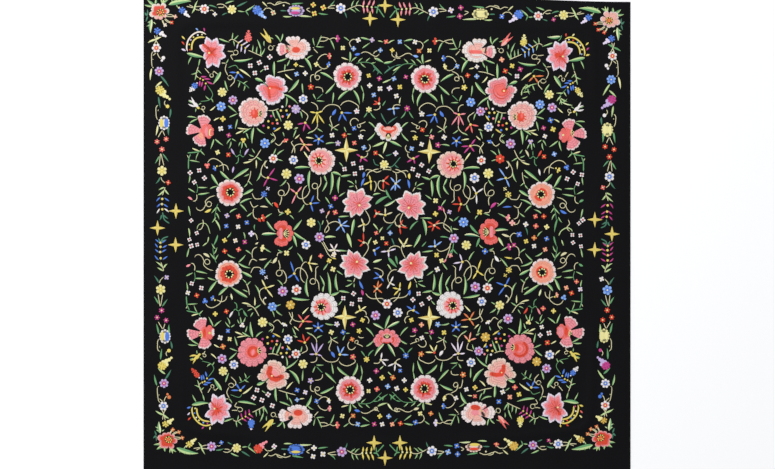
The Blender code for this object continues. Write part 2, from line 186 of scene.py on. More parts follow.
def anchors():
    """The places whose strays are known, which the small embroidery round them shares."""
    known = []
    for (right, away, *strays), _ in rows(SMALL_STRAYS):
        for (across, depth), dx, dy in zip(QUARTERS.values(), [0, *strays[::2]], [0, *strays[1::2]]):
            known.append((right * across * CM, away * depth * CM, dx * MM, dy * MM))
    for right, away, strays in LARGE_FLOWERS.values():
        for (across, depth), (dx, dy) in zip(QUARTERS.values(), strays):
            known.append((right * across * CM, away * depth * CM, dx * MM, dy * MM))
    for *_, right, away, _, _, dx, dy in MIDDLE_FLOWERS:
        known.append((right * CM, away * CM, dx * MM, dy * MM))
    return np.array(known)


ANCHORS = anchors()
STRAY_REACH = 12.0 * MM  # within this of a known place, its own stray holds


def stray(u, v):
    """The stray of points of the pattern, drawn from the known places near them."""
    gap = (ANCHORS[:, 0] - u[:, None]) ** 2 + (ANCHORS[:, 1] - v[:, None]) ** 2
    weight = 1 / (gap + STRAY_REACH ** 2) ** 1.5
    weight /= weight.sum(axis=1, keepdims=True)
    return weight @ ANCHORS[:, 2], weight @ ANCHORS[:, 3]


def on_cloth(points, mirror, steady=False):
    """Points of the chart, in centimetres, on the cloth in metres, with the height of the cloth's face.
    Steady points don't stray."""
    u, v = points[:, 0] * mirror[0] * CM, points[:, 1] * mirror[1] * CM
    dx, dy = (0 * u, 0 * v) if steady else stray(u, v)
    x, y = laid(u, v)
    face = lift(u + dx, v + dy) + bpy.context.scene.shawl_cloth.thickness
    return np.column_stack((x + dx, y + dy, face))


def add_node(tree, kind, settings=None, links=None):
    """Adds a node with its settings and input links; returns it."""
    node = tree.nodes.new(kind)
    for name, value in (settings or {}).items():
        if isinstance(name, int) or name in node.inputs and not hasattr(node, name):
            node.inputs[name].default_value = value
        else:
            setattr(node, name, value)
    for name, source in (links or {}).items():
        tree.links.new(source, node.inputs[name])
    return node


def new_material(name):
    """An empty node material, with its Principled shader."""
    material = bpy.data.materials.new(name)
    material.use_nodes = True
    return material, material.node_tree, material.node_tree.nodes["Principled BSDF"]


BLANKS = {}
TRIANGLES = {}
LEAF_COLUMNS = np.array([-1, -0.55, -0.06, 0.06, 0.55, 1])  # where a leaf's points stand, from side to side
LEAF_SLANT = 0.9
PATH_STEP = 0.35  # centimetres between the points of a stem
CORD_TAPER = 0.12  # share of a stem's length over which each end narrows


def blank(columns, rows, ring=False):
    """A closed blank for stitched work: a grid whose columns wrap round. Its rows end in two poles, or wrap
    round too and make a ring. Returns its mesh with each point's column and row."""
    key = (columns, rows, ring)
    if key not in BLANKS:
        bm = bmesh.new()
        cell = bm.verts.layers.float_vector.new("cell")
        bmesh.ops.create_grid(bm, x_segments=columns, y_segments=rows, size=1.0)
        for vert in bm.verts:
            column = round((vert.co.x + 1) / 2 * columns) % columns
            row = round((vert.co.y + 1) / 2 * rows) % (rows if ring else rows + 1)
            vert[cell] = (column, row, 0)
            turn = math.tau * column / columns
            if ring:
                tilt = math.tau * row / rows
                out, up = 2 + math.cos(tilt), math.sin(tilt)
            else:
                tilt = math.pi * row / rows
                out, up = math.sin(tilt), -math.cos(tilt)
            vert.co = (out * math.cos(turn), out * math.sin(turn), up)
        bmesh.ops.remove_doubles(bm, verts=bm.verts, dist=1e-5)
        cells = np.array([vert[cell] for vert in bm.verts])
        bm.verts.layers.float_vector.remove(cell)
        mesh = bpy.data.meshes.new("blank")
        bm.to_mesh(mesh)
        bm.free()
        mesh.calc_loop_triangles()
        corners = np.zeros(len(mesh.loop_triangles) * 3, int)
        mesh.loop_triangles.foreach_get("vertices", corners)
        TRIANGLES[mesh.name] = corners.reshape(-1, 3)
        BLANKS[key] = mesh, np.round(cells[:, 0]).astype(int), np.round(cells[:, 1]).astype(int)
    return BLANKS[key]


def chance(*values):
    """A number from 0 to 1 that looks random and is always the same for the same place."""
    return math.sin(sum(v * w for v, w in zip(values, (12.9898, 78.233, 37.719, 91.17)))) * 43758.5453 % 1.0


def smooth_path(points):
    """A soft line through the points, with one about every few millimetres."""
    points = np.array(points, float)
    if len(points) == 2:
        count = max(2, int(np.hypot(*(points[1] - points[0])) / PATH_STEP))
        return points[0] + (points[1] - points[0]) * np.linspace(0, 1, count + 1)[:, None]
    ends = np.vstack((2 * points[0] - points[1], points, 2 * points[-1] - points[-2]))
    out = []
    for a, b, c, d in zip(ends, ends[1:], ends[2:], ends[3:]):
        count = max(1, int(round(np.hypot(*(c - b)) / PATH_STEP)))
        t = np.arange(count)[:, None] / count
        out.append(0.5 * (2 * b + (c - a) * t + (2 * a - 5 * b + 4 * c - d) * t ** 2
                          + (3 * b - a - 3 * c + d) * t ** 3))
    return np.vstack(out + [points[-1:]])


def new_object(name, data):
    """An object of the scene, at the origin."""
    thing = bpy.data.objects.new(name, data)
    bpy.context.scene.collection.objects.link(thing)
    return thing


class Needlework:
    """Gathers the stitched shapes of one piece, then makes them one mesh. Each point has the silk's colour,
    as the attribute floss, its place among the threads in millimetres, as the attribute thread, and in a
    large flower its place from heart to rim, as the attribute petal."""

    def __init__(self, mirror=(1, 1), steady=False):
        self.bm = bmesh.new()
        self.mirror, self.steady = mirror, steady
        self.points, self.floss, self.thread, self.petal = [], [], [], []
        self.faces, self.inside_out = 0, []

    def add(self, mesh, points, floss, thread, petal=None):
        """Adds a blank, moved to its points. One that comes out inside out is noted, to be turned round."""
        a, b, c = ((points - points[0])[TRIANGLES[mesh.name][:, k]] for k in range(3))
        count = len(mesh.polygons)
        if (np.cross(a, b) * c).sum() < 0:
            self.inside_out.append((self.faces, self.faces + count))
        self.faces += count
        self.bm.from_mesh(mesh)
        self.points.append(points)
        self.floss.append(floss)
        self.thread.append(thread)
        self.petal.append(np.zeros((len(points), 3)) if petal is None else petal)

    def strand(self, path, half, tones, crown, rise, slant=0.0):
        """Satin or stem stitches along a path: half gives its half width at each point of it, in centimetres,
        and tones the silk of each column from one side to the other."""
        mesh, column, row = blank(len(tones), len(path) - 1)
        places = on_cloth(path, self.mirror, self.steady)
        along = np.gradient(places[:, :2], axis=0)
        along /= np.maximum(np.hypot(along[:, 0], along[:, 1]), 1e-9)[:, None]
        side = np.column_stack((-along[:, 1], along[:, 0])) * self.mirror[0] * self.mirror[1]
        spread = np.linspace(-1, 1, len(tones))
        if slant:
            spread = LEAF_COLUMNS
        half = np.asarray(half) * np.ones(len(path))
        s, w = spread[column], half[row] * CM
        points = places[row].copy()
        points[:, :2] += side[row] * (s * w)[:, None]
        peak = np.minimum(half / max(half.max(), 1e-6), 1.0) ** 0.5
        points[:, 2] += (crown * np.sqrt(np.maximum(0, 1 - s ** 2)) * peak[row] + rise - SUNK) * MM
        run = np.concatenate(([0], np.cumsum(np.hypot(*np.diff(path, axis=0).T)))) * 10
        seed = chance(*path[0], *path[-1])
        aside, onward = s * w / MM, run[row]
        if slant:
            aside, onward = run[row] - slant * np.abs(s) * w / MM, aside
        thread = np.column_stack((aside, onward, np.full(len(s), seed)))
        colours = np.array([tone(t) for t in tones])[column] * (0.94 + 0.10 * seed)
        self.add(mesh, points, colours, thread)

    def leaf(self, x0, y0, x1, y1, width, tones, bend=None, fat=0.72, crown=0.55, rise=0.0):
        """A pointed leaf or petal between two points, in two silks that meet along its middle. A width of 0
        is worked out from the length."""
        start, end = np.array((x0, y0)), np.array((x1, y1))
        length = np.hypot(*(end - start))
        width = width or 0.24 + 0.09 * length
        start, end = start - 0.05 * (end - start), end + 0.13 * (end - start)
        if bend is None:
            bend = (chance(x0, y0, x1) - 0.5) * 0.18
        t = np.linspace(0, 1, 8)
        normal = np.array((start[1] - end[1], end[0] - start[0]))
        path = start + (end - start) * t[:, None] + normal * (bend * 4 * t * (1 - t))[:, None]
        half = width / 2 * np.sin(math.pi * t ** fat)
        a, b = tones[0], tones[-1]
        self.strand(path, half, (a, a, a, b, b, b), crown, rise, LEAF_SLANT)

    def cord(self, points, width, silk, crown=0.5, rise=0.0):
        """A stitched stem or tendril through the points."""
        path = smooth_path(points)
        t = np.linspace(0, 1, len(path))
        half = width / 2 * np.clip(np.minimum(t, 1 - t) / CORD_TAPER, 0, 1) ** 0.5
        half[[0, -1]] = 0.0
        self.strand(path, half, silk * 3, crown, rise)

    def curl(self, x, y, radius, start, sweep, width, silk):
        """A round curl of a tendril."""
        t = np.linspace(0, 1, 11)
        turns, reach = np.radians(start + (sweep + 70) * t), radius * (1 - 0.12 * t)
        self.cord(np.column_stack((x + reach * np.cos(turns), y + reach * np.sin(turns))), width, silk)

    def disc(self, x, y, outline, bands, sectors, rings, crown, rise=0.0, dip=0.0, spin=0.0, count=0):
        """A round motif, stitched from its middle out: outline gives its reach at each turn and bands the
        silk from the middle to the rim. A count of petals leaves a dark gap between each two."""
        mesh, column, row = blank(sectors, rings + 1)
        turn = column / sectors
        share = np.where(row <= rings, row / rings, 0.0)
        angle = math.tau * (turn + spin)
        reach = outline(turn) * share
        anchor = on_cloth(np.array([[x, y]]), self.mirror, self.steady)[0]
        points = np.column_stack((anchor[0] + self.mirror[0] * reach * np.cos(angle) * CM,
                                  anchor[1] + self.mirror[1] * reach * np.sin(angle) * CM,
                                  np.full(len(turn), anchor[2])))
        height = crown * np.sqrt(np.maximum(0, 1 - share ** 2)) - dip * (1 - share) ** 2 + rise - SUNK
        points[:, 2] += np.where(row <= rings, height, rise - SUNK) * MM
        seed = chance(x, y, *self.mirror)
        fold = 1 - np.abs(2 * turn - 1)
        around = fold * math.pi * outline(turn).max() * 10
        thread = np.column_stack((around, reach * 10, np.full(len(turn), seed)))
        shades = np.array([tone(t) for t in bands]) * (0.95 + 0.08 * seed)
        at = np.clip(share * (len(bands) - 1), 0, len(bands) - 1)
        low = np.floor(at).astype(int)
        high = np.minimum(low + 1, len(bands) - 1)
        colours = shades[low] + (shades[high] - shades[low]) * (at - low)[:, None]
        if count:
            gap = (1 - np.abs(np.cos(math.pi * count * turn))) ** 2 * np.clip(share * 1.6, 0, 1)
            colours = colours * (1 - 0.62 * gap)[:, None]
        self.add(mesh, points, colours, thread)

    def knot(self, x, y, diameter, silk, rise=0.0):
        """A bead of floss, wound into a small dome."""
        self.disc(x, y, lambda turn: np.full(turn.shape, diameter / 2), silk * 2, 8, 2, 0.7, rise)

    def piece(self, name, material, slot, *nodes):
        """Makes the gathered work one object that rides with the cloth."""
        mesh = bpy.data.meshes.new(name)
        self.bm.faces.ensure_lookup_table()
        turned = [face for start, end in self.inside_out for face in self.bm.faces[start:end]]
        bmesh.ops.reverse_faces(self.bm, faces=turned)
        self.bm.to_mesh(mesh)
        self.bm.free()
        mesh.vertices.foreach_set("co", np.concatenate(self.points).astype(np.float32).ravel())
        silks = np.concatenate(self.floss)
        silks = np.column_stack((silks, np.ones(len(silks)))).astype(np.float32)
        mesh.attributes.new("floss", "FLOAT_COLOR", "POINT").data.foreach_set("color", silks.ravel())
        for label, values in (("thread", self.thread), ("petal", self.petal)):
            values = np.concatenate(values).astype(np.float32).ravel()
            mesh.attributes.new(label, "FLOAT_VECTOR", "POINT").data.foreach_set("vector", values)
        mesh.materials.append(material)
        mesh.shade_smooth()
        mesh.set_sharp_from_angle(angle=math.radians(75))
        thing = new_object(name, mesh)
        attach(thing, "root")
        if nodes:
            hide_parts(*nodes)


# Large flowers: the parts of their blank, and in millimetres how their stitches stand
FLOWER_SECTORS = 144
FLOWER_RINGS = 22
PAD_HEIGHT = 1.05
PAD_EDGE = 0.10  # share of the way over which the pad rounds off
GROOVE_DEPTH = 0.30
# how much darker the grooves are painted: painted shade in the sunken grooves between scallops and rows
GROOVE_PAINTED_SHADE = 0.42
THREAD_RADIUS = 26.0  # where threads are counted round the heart
MARK_EDGE = 0.16  # centimetres over which a mark's silk gives way to the band's
SCALLOPED = {"peony_side": 3.95, "peony_mid": 4.0, "peony_far": 4.15, "rose_round": 4.3}  # reach
SCALLOPS = 12
POINTED = {
    # share of the reach in the notches; direction in degrees and reach of each tip. Past a short tip the
    # flower is cut off, as one seen from the side
    "lily_outer": (0.72, [(151.6, 4.3), (109.0, 4.95), (69.6, 4.65), (29.6, 4.45),
                          (-16.3, 4.45), (-65.6, 4.9), (-105.8, 4.9), (-148.0, 3.0)]),
    "lily_inner": (0.71, [(172.0, 4.4), (122.7, 4.75), (68.2, 4.95), (21.2, 5.1),
                          (-9.5, 4.4), (-76.3, 3.8), (-112.0, 4.6), (-147.7, 4.6)]),
}
PETALLED = {
    # reach where no petal stands; then right, away and radius of each petal
    "peony_edge": """
1.5; -1.7 2.7 .85; -.4 2.9 .75; .9 2.9 .75; 2.6 1.7 1.1; 3.5 1 1; 3.9 0 .85; 3.1 -1.2 .8; 2.2 -2.1 .9
1 -2.5 .8; .2 -2.6 .8; -1 -2.4 .75; -2.1 -2.1 .6; -4 -1.2 .85; -4.2 -.2 1.15; -4 .8 .9""",
    "rose_heart": """
3.15; -1 3.2 1.2; -.2 3.1 1; 1.5 2.7 1.2; 2.5 2.2 1.2; 3.4 .2 1; 2.5 -1.8 .95; 1.2 -3 1; -.1 -3.5 1
-1.1 -3.5 .9; -2.4 -2.3 .9; -3.2 -1.2 .85; -4 .4 1; -3.2 1 .8""",
    "iris": """
1.1; -.8 4 .7; .2 4.2 .75; 1.1 3.9 .7; 1.75 3.4 .6; .4 2.4 1; -3.6 1.6 .65; -4.1 .7 .75; -4.2 -.3 .7
-2.4 .5 1.1; -2.3 -2.2 .65; -1.75 -3 .75; -.7 -3.6 .8; .3 -3.7 .7; -.8 -2 1.1; 1.4 .1 1.8; 1.9 1.3 .8
2.5 .4 .8; 2.4 -.6 .85; 1.8 -1.4 .75""",
    "corner_flower": """
1.25; -1.5 1.45 .9; -.4 1.85 .6; 1.1 1.75 .85; 2.1 .2 .8; 1.6 -1.2 .55; .3 -1.6 .75; -.9 -1.5 .7
-2.1 -.7 .9; -2 .7 .5""",
    "poppy": """
1.1; 2 0 1; 1.5 1.35 1.05; 1.5 -1.35 1.05; .1 2.6 1.15; .3 -2.6 1.1; -1 2.65 1.05; -1.6 2.1 1.1
-.5 -2.8 1.1; -1.5 -2.4 1.15; -.9 0 1.05""",
    "half_rose": """
1.4; 2.6 1.5 .9; -2.6 1.5 .9; 3.1 .5 .95; -3.1 .5 .95; 2.5 -.5 .9; -2.5 -.5 .9; 1.6 -1.7 .85
-1.6 -1.7 .85; 0 -2.2 .8""",
}

# How each large flower is stitched. heart: right and away of where the threads meet, and its radius, which
# is left open to the crepe where the flower has dark eyes. ragged: how unevenly its bands meet. rows: where
# a row of petals ends, as a share of the way out. bands: silks from the heart to the rim, with their share of
# the way in hundredths, for each quarter where they differ. marks: which quarters, or a star for all, then
# silk, shape and its numbers.
PLAIN_LOOK = dict(open=False, ragged=0.0, rows=())
LOOKS = {
    "peony_side": dict(
        heart=(0.2, 0.12, 1.22), open=True, ragged=0.1, rows=(0.44, 0.7),
        bands=["r0 R9 R38 P49 p71 S84 S100", "K0 k18 k37 k68 S86 S100", "r0 R9 R44 k53 k71 S84 S100",
               "K0 k15 k40 k68 S86 S100"],
        marks="""
1 R arc .2 .12 1.45 95 190 .85; 1 R arc .2 .12 1.6 -85 -25 .9; 3 R arc .2 .12 1.5 -75 -5 .75
3 R arc .2 .12 1.45 15 80 .7; 3 R arc .2 .12 1.45 120 165 .6; 3 R arc .2 .12 1.4 185 225 .6
02 r flames .2 .12 1.2 2.1 9 .2; * y knots .2 .12 1.02 8 .5"""),
    "peony_mid": dict(
        heart=(-0.78, 0.15, 1.12), open=True, ragged=0.08, rows=(0.4, 0.66),
        bands=["P0 p26 P48 p73 S88 S100", "P0 p24 P44 p70 i88 I100", "P0 P24 p42 W56 W100",
               "P0 P26 p38 W52 W100"],
        marks="""
* R flames -.78 .15 1.05 2.35 10 .42; * r flames -.75 .1 1.05 1.7 8 .2; 2 P oval 1.3 .9 .8 1 0
3 P oval -2.3 -.6 .55 1.1 0; * y knots -.78 .15 .93 8 .46"""),
    "peony_far": dict(
        heart=(0.1, -0.1, 1.2), open=True, ragged=0.16, rows=(0.4, 0.66),
        bands=["r0 R8 R26 P36 P64 S76 S100"],
        marks="""
* K arc 0 0 2.55 20 110 .16; * K arc 0 0 2.6 150 250 .16; * r flames .1 -.1 1.15 2.1 10 .26
* y knots .1 -.1 1.04 8 .48"""),
    "rose_round": dict(
        heart=(0.5, -0.4, 0.2), rows=(0.34, 0.56, 0.78),
        bands=["P0 p32 p80 S91 S100", "P0 p28 p78 S91 S100", "K0 K40 P62 P90 P100", "K0 K42 P64 P90 P100"],
        marks="""
01 P arc .2 0 2.2 40 200 .22; 01 P arc .1 0 2.9 80 300 .2; 01 P arc .2 0 1.7 150 280 .2
01 R oval .5 -.5 1.1 1.25 10; 01 R flames .5 -.5 .6 1.7 9 .3; 01 K oval .2 -.1 .35 .7 0
23 P arc 0 0 2.6 100 330 .26; 23 P arc 0 0 3.3 60 220 .22; 2 R arc .3 -.1 1.2 0 360 .9
2 P oval .3 0 .35 .95 15; 3 R arc 0 0 2.05 45 235 .85; 3 R oval 1 -.4 .65 1 0; 3 P arc .3 0 .9 80 260 .3
* N oval 2.1 -.5 .52 .85 0; * y fan 1.45 -.5 1.1 -65 55 4 .22"""),
    "lily_outer": dict(
        heart=(0.0, -0.2, 0.2), ragged=0.12,
        bands=["K0 K24 P48 P74 Q87 Q100", "R0 K29 P48 P74 Q88 Q100", "K0 K26 P50 P72 Q86 Q100",
               "K0 K46 P68 P76 Q88 Q100"],
        marks="""
0 R line .9 .1 .3 -1.1 1.2 -2.3 2.2; 0 R line .55 0 .2 1.1 1.1; 0 R line .4 -.2 -.3 -1.7 -2.2
0 R line .3 0 -.2 1.2 -1.1; 0 r line .5 0 .2 -1 1.4; * r flames -.2 0 .3 2.2 13 .13
0 R oval -.3 .3 1.1 1.2 0; 0 r line .4 -.1 .2 -1.2 1.4; 0 r line .3 0 .1 .9 .9
2 r line .32 -.9 .8 .2 0 1.1 -.7; 2 r line .28 -.6 -.8 .5 .9; 12 R line .45 -.3 .1 -1.3 1.6
12 R line .45 -.1 -.3 -1.7 -2.1; 1 R oval .9 .2 .8 .7 0; 2 R line .4 0 0 1.4 -.8; 2 R line .5 0 0 .9 .5
2 R line .5 0 0 -.3 1.5; 3 r line .4 -.2 .1 -1 1.1; 3 R oval -1.2 1.6 .5 .5 0
0123 N oval .05 -.2 .2 .12 20; * y knots -.75 -.15 0 1 .62"""),
    "lily_inner": dict(
        heart=(0.6, -0.3, 0.2), ragged=0.12,
        bands=["K0 P18 P72 p84 W89 W100", "K0 P22 P72 p85 W89 W100", "K0 K26 P56 P72 p82 W88 W100",
               "K0 K30 P58 P72 p82 W88 W100"],
        marks="""
* r flames .5 -.3 .4 2.6 15 .12; * R line .25 .5 -.5 0 -1.6; * R line .2 .7 0 1.4 1
* R line .2 .3 -.1 -1 .4; * r oval .85 .05 .35 .16 10; * y knots .8 -.55 0 1 .72"""),
    "peony_edge": dict(
        heart=(0.5, 0.2, 0.2), ragged=0.02, rows=(0.55,),
        bands=["p0 p64 S80 S100", "p0 p56 W74 I100", "k0 p33 p62 S78 S100", "k0 p34 p60 S76 S100"],
        marks="""
0 R oval .45 -.35 1.2 .85 0; 0 W line .4 -.5 -1.5 1 -1.65 2.3 -1.3; 0 P oval -3.6 -.4 .6 1.6 0
0 R oval -2.1 -.7 .35 .5 0; 0 N line .5 -2.9 2 -2.2 .6 -1.7 -.3; 0 L stitch .22 -2.3 .5 -1.3 -.8
0 L stitch .22 -1.5 .6 -.9 -.6; 1 K line 1 2.1 -.2 -.7 -.3; 1 W line .55 1.5 -1.2 -1.3 -1.2
1 P oval -3.5 -.4 .7 1.6 0; 1 K line .4 -2.45 -.2 -2.5 -1.7; 1 N line .5 -2.6 1.8 -2.2 .4 -2 -.4
1 y stitch .22 -.85 1.1 -1.5 -.5; 1 y stitch .22 -2 .8 -1.75 -.4; 2 R oval .5 -.95 1.3 .9 0
2 k oval -2.6 -.9 .4 1 0; 2 N oval -1.6 .6 .7 .75 0; 2 G stitch .24 -1.9 .7 -1.7 -.2
2 G stitch .24 -.8 .8 -1.1 -.1; 3 R oval .5 -1.6 1.4 .85 -8; 3 P oval .6 -.1 1.1 .8 0
3 P oval -2.4 -1.2 .7 .9 0; 3 N oval -1.7 .3 .4 .9 30; 3 Y stitch .22 -.7 -.9 -1.9 -.1"""),
    "rose_heart": dict(
        heart=(-0.4, 0.2, 0.2), ragged=0.02, rows=(0.5, 0.75),
        bands=["K0 K40 P64 P76 Q86 W100", "K0 K51 P70 P80 S91 S100", "k0 P20 p58 p74 i86 I100",
               "k0 P16 p54 p74 i86 I100"],
        marks="""
0 R line .8 -.9 .8 .8 .7 2.3 .1; 0 R line .75 -1.2 .4 -1.1 -1 -.9 -2.3; 1 R oval -1.1 .2 .75 .65 0
1 R arc -.6 .4 1.7 185 330 .22; 1 R arc -.4 .4 2.4 190 345 .2; 1 P arc -.5 .4 2.05 180 340 .25
2 R line 1.5 -1.2 -2 -1.6 -.6 -.7 .8 .5 1.2 2 .5; 2 r line .4 -1.2 -.4 0 .7 1.6 .5
3 R line 1.2 -1.3 -2 -1.2 -.7 -.7 .3 .8 .5 2.1 .2; 3 R oval -.7 -.3 .75 .9 0
0 N line .35 -2.9 2.4 -1.5 .9; 1 N line .4 -2.4 2.3 -1.8 .7; 2 N line .35 -2.6 1.9 -1.7 .9
3 N line .35 -2.7 1.3 -1.7 .2; * G stitch .2 -2.7 2.1 -1.6 .9; 0 y knots -.85 .4 0 1 .55
1 y knots -1.14 .2 0 1 .7; 2 y knots -.7 .25 0 1 .6; 3 y knots -.73 -.15 0 1 .5"""),
    "iris": dict(
        heart=(0.3, 0.0, 0.2),
        bands=["K0 P30 P100", "K0 P30 P100", "K0 P30 P100", "K0 P34 P100"],
        marks="""
* S edge .9 55 285; * K oval 1.6 0 2.3 2.3 0; 0 P oval 1.1 -.1 .45 1.5 0; 0 k oval -.6 -1.2 .7 1.2 25
1 P oval 2.7 -.2 .35 1 0; 3 P oval 2.1 .2 .9 1.5 0; 2 R oval .3 .2 .5 1.3 0; 3 R oval .45 .1 .55 1.25 0
2 W oval 2.8 0 .4 1 0; 0 y stitch .42 2.35 .8 2 .1 2 -1.3; 0 y stitch .24 2 -1.2 2.7 -1.1
0 y stitch .24 2.2 .7 2.8 .5; 1 y knots 2.05 -.2 0 1 .7; 2 Y knots 1.95 0 0 1 .8
1 N oval -.7 .6 .3 .9 30; 23 N oval -.9 .9 .45 .75 0; 123 y fan -.1 .6 1 120 235 4 .26"""),
    "corner_flower": dict(
        heart=(0.2, -0.1, 0.2), ragged=0.03,
        bands=["R0 R64 K70 I80 I100", "p0 p60 p80 W100", "R0 R72 P80 p100", "R0 R72 K78 P86 p100"],
        marks="""
0 p oval .3 -1.6 1.6 .7 0; 1 R oval 0 -.1 .8 .75 0; * N oval .3 -.25 1.12 1.06 0
* R oval .3 -.2 .62 .56 0; * Y knots .3 -.25 .88 8 .46; * Y knots .3 -.25 .3 3 .3"""),
    "poppy": dict(
        heart=(0.0, 0.0, 0.2), ragged=0.03, rows=(0.62,),
        bands=["R0 R56 K70 K100"],
        marks="""
* N oval .75 -.1 .9 1.25 0; * P line .95 -.7 1.1 -.7 -1.2; * K line .45 -1.5 .7 -1.5 -1.5
* y fan -.1 -.1 1.7 -48 48 5 .24"""),
    "half_rose": dict(
        heart=(0.0, 0.0, 0.2), ragged=0.02,
        bands=["p0 p66 W80 W100", "P0 P56 K70 P84 P100"],
        marks="""
0 R oval .1 .75 2.25 1.1 0; 0 p oval .1 .72 1.6 .52 0; 0 R oval .15 -.35 .85 .5 0
0 N oval 0 -1.35 .8 .85 0; 0 y fan 0 -.75 1.5 245 295 4 .22; 0 W line .5 -2 -2.2 0 -2.7 1.9 -2
1 R oval -1.6 .3 .4 .9 0; 1 R oval 1.7 .3 .42 .9 0; 1 R oval 0 1.2 1.4 .45 0
1 P line .8 -1.2 .55 1.2 .55; 1 N oval 0 -.6 1.1 .6 0; 1 y fan 0 0 1.3 235 305 4 .22"""),
}
# The name of a slot for each large flower, for each quarter where they differ
SLOTS = {
    "peony_side": ["peach_pink", "peach_pink", "coral_red", "peach_pink"],
    "peony_mid": ["ivory_pink", "peach_pink", "ivory_pink", "ivory_pink"], "peony_far": ["pink_rose"],
    "rose_round": ["ivory_pink", "ivory_pink", "coral_red", "coral_red"], "lily_outer": ["pink_rose"],
    "lily_inner": ["pink_rose"], "peony_edge": ["ivory_pink", "ivory_pink", "peach_pink", "peach_pink"],
    "rose_heart": ["pink_rose", "pink_rose", "peach_pink", "ivory_pink"], "iris": ["coral_red"],
    "corner_flower": ["coral_red", "ivory_pink", "coral_red", "coral_red"],
}
STAR_BLADES = [(90.0, 3.3), (180.0, 3.0), (270.0, 3.0), (0.0, 3.0)]  # direction in degrees, reach


def rim_of(kind, sectors):
    """The turn of each sector of a large flower, its reach there, and how near it is to a petal's edge."""
    turn = np.arange(sectors) / sectors
    if kind in SCALLOPED:
        arch = np.abs(np.sin(math.pi * SCALLOPS * turn))
        wobble = 1 + 0.025 * np.sin(math.tau * 3 * turn + 0.6) + 0.015 * np.sin(math.tau * 5 * turn)
        return turn, SCALLOPED[kind] * (0.90 + 0.10 * arch ** 0.6) * wobble, np.exp(-(arch / 0.30) ** 2)
    if kind in POINTED:
        low_share, tips = POINTED[kind]
        each = sectors // len(tips)
        turns, reaches, edges = [], [], []
        for (angle, reach), (after, next_reach) in zip(tips, tips[1:] + tips[:1]):
            swing = -((angle - after) % 360)
            low = (low_share if reach > 3.2 else 0.56) * (reach + next_reach) / 2
            for k in range(each):
                t = k / each
                tip, off = (reach, 2 * t) if t < 0.5 else (next_reach, 2 - 2 * t)
                turns.append((angle + swing * t) / 360 % 1.0)
                reaches.append(low + (tip - low) * (1 - off ** 0.9))
                edges.append(math.exp(-((1 - off) / 0.16) ** 2))
        return np.array(turns), np.array(reaches), np.array(edges)
    (least,), *petals = [row for row, _ in rows(PETALLED[kind])]
    right, away = np.cos(math.tau * turn), np.sin(math.tau * turn)
    reach = np.full(sectors, least)
    for px, py, radius in petals:
        aside = px * away - py * right
        inside = np.abs(aside) < radius
        along = px * right + py * away + np.sqrt(np.maximum(0, radius ** 2 - aside ** 2))
        reach = np.where(inside, np.maximum(reach, along), reach)
    edge = np.clip((np.roll(reach, 2) + np.roll(reach, -2) - 2 * reach) / 0.5, 0, 1)
    return turn, reach, edge


def to_segments(x, y, points):
    """How far each point lies from a broken line."""
    best = np.full(len(x), 1e9)
    for (x0, y0), (x1, y1) in zip(points, points[1:]):
        dx, dy = x1 - x0, y1 - y0
        t = np.clip(((x - x0) * dx + (y - y0) * dy) / (dx * dx + dy * dy), 0, 1)
        best = np.minimum(best, np.hypot(x - x0 - t * dx, y - y0 - t * dy))
    return best


def marks_in(look, quarter):
    """The marks of a large flower that one quarter has: silk, shape and numbers."""
    for where, silk, shape, *values in entries(look["marks"]):
        if where == "*" or str(quarter) in where:
            yield silk, shape, [float(value) for value in values]


def near_line(x, y, points, width, edge=MARK_EDGE):
    """How fully a broken line of this width covers each point, from 0 to 1."""
    return np.clip((width / 2 - to_segments(x, y, points)) / edge + 0.5, 0, 1)


def cover(shape, values, x, y, share, angle):
    """How fully a flat mark of a large flower covers each point, from 0 to 1."""
    if shape == "oval":
        right, away, rx, ry, tilt = values
        turn = math.radians(tilt)
        along = (x - right) * math.cos(turn) + (y - away) * math.sin(turn)
        aside = (y - away) * math.cos(turn) - (x - right) * math.sin(turn)
        return np.clip((1 - np.hypot(along / rx, aside / ry)) * min(rx, ry) / MARK_EDGE + 0.5, 0, 1)
    if shape == "line":
        width, *ends = values
        return near_line(x, y, list(zip(ends[::2], ends[1::2])), width)
    if shape == "arc":
        right, away, radius, start, end, width = values
        turns = np.radians(np.linspace(start, end, max(3, int(abs(end - start) / 15) + 2)))
        points = list(zip(right + radius * np.cos(turns), away + radius * np.sin(turns)))
        return near_line(x, y, points, width)
    out = np.zeros(len(x))
    if shape == "flames":
        right, away, start, end, count, width = values
        for k in range(int(count)):
            turn = math.tau * (k + 0.35 * chance(k, right, away)) / count
            reach = start + (end - start) * (0.62 + 0.38 * chance(k, away))
            points = [(right + start * math.cos(turn), away + start * math.sin(turn)),
                      (right + reach * math.cos(turn), away + reach * math.sin(turn))]
            out = np.maximum(out, near_line(x, y, points, width, 0.14))
    if shape == "edge":
        least, start, end = values
        inside = ((np.degrees(angle) - start) % 360) < (end - start)
        out = np.where(inside, np.clip((share - least) / 0.05 + 0.5, 0, 1), 0.0)
    return out


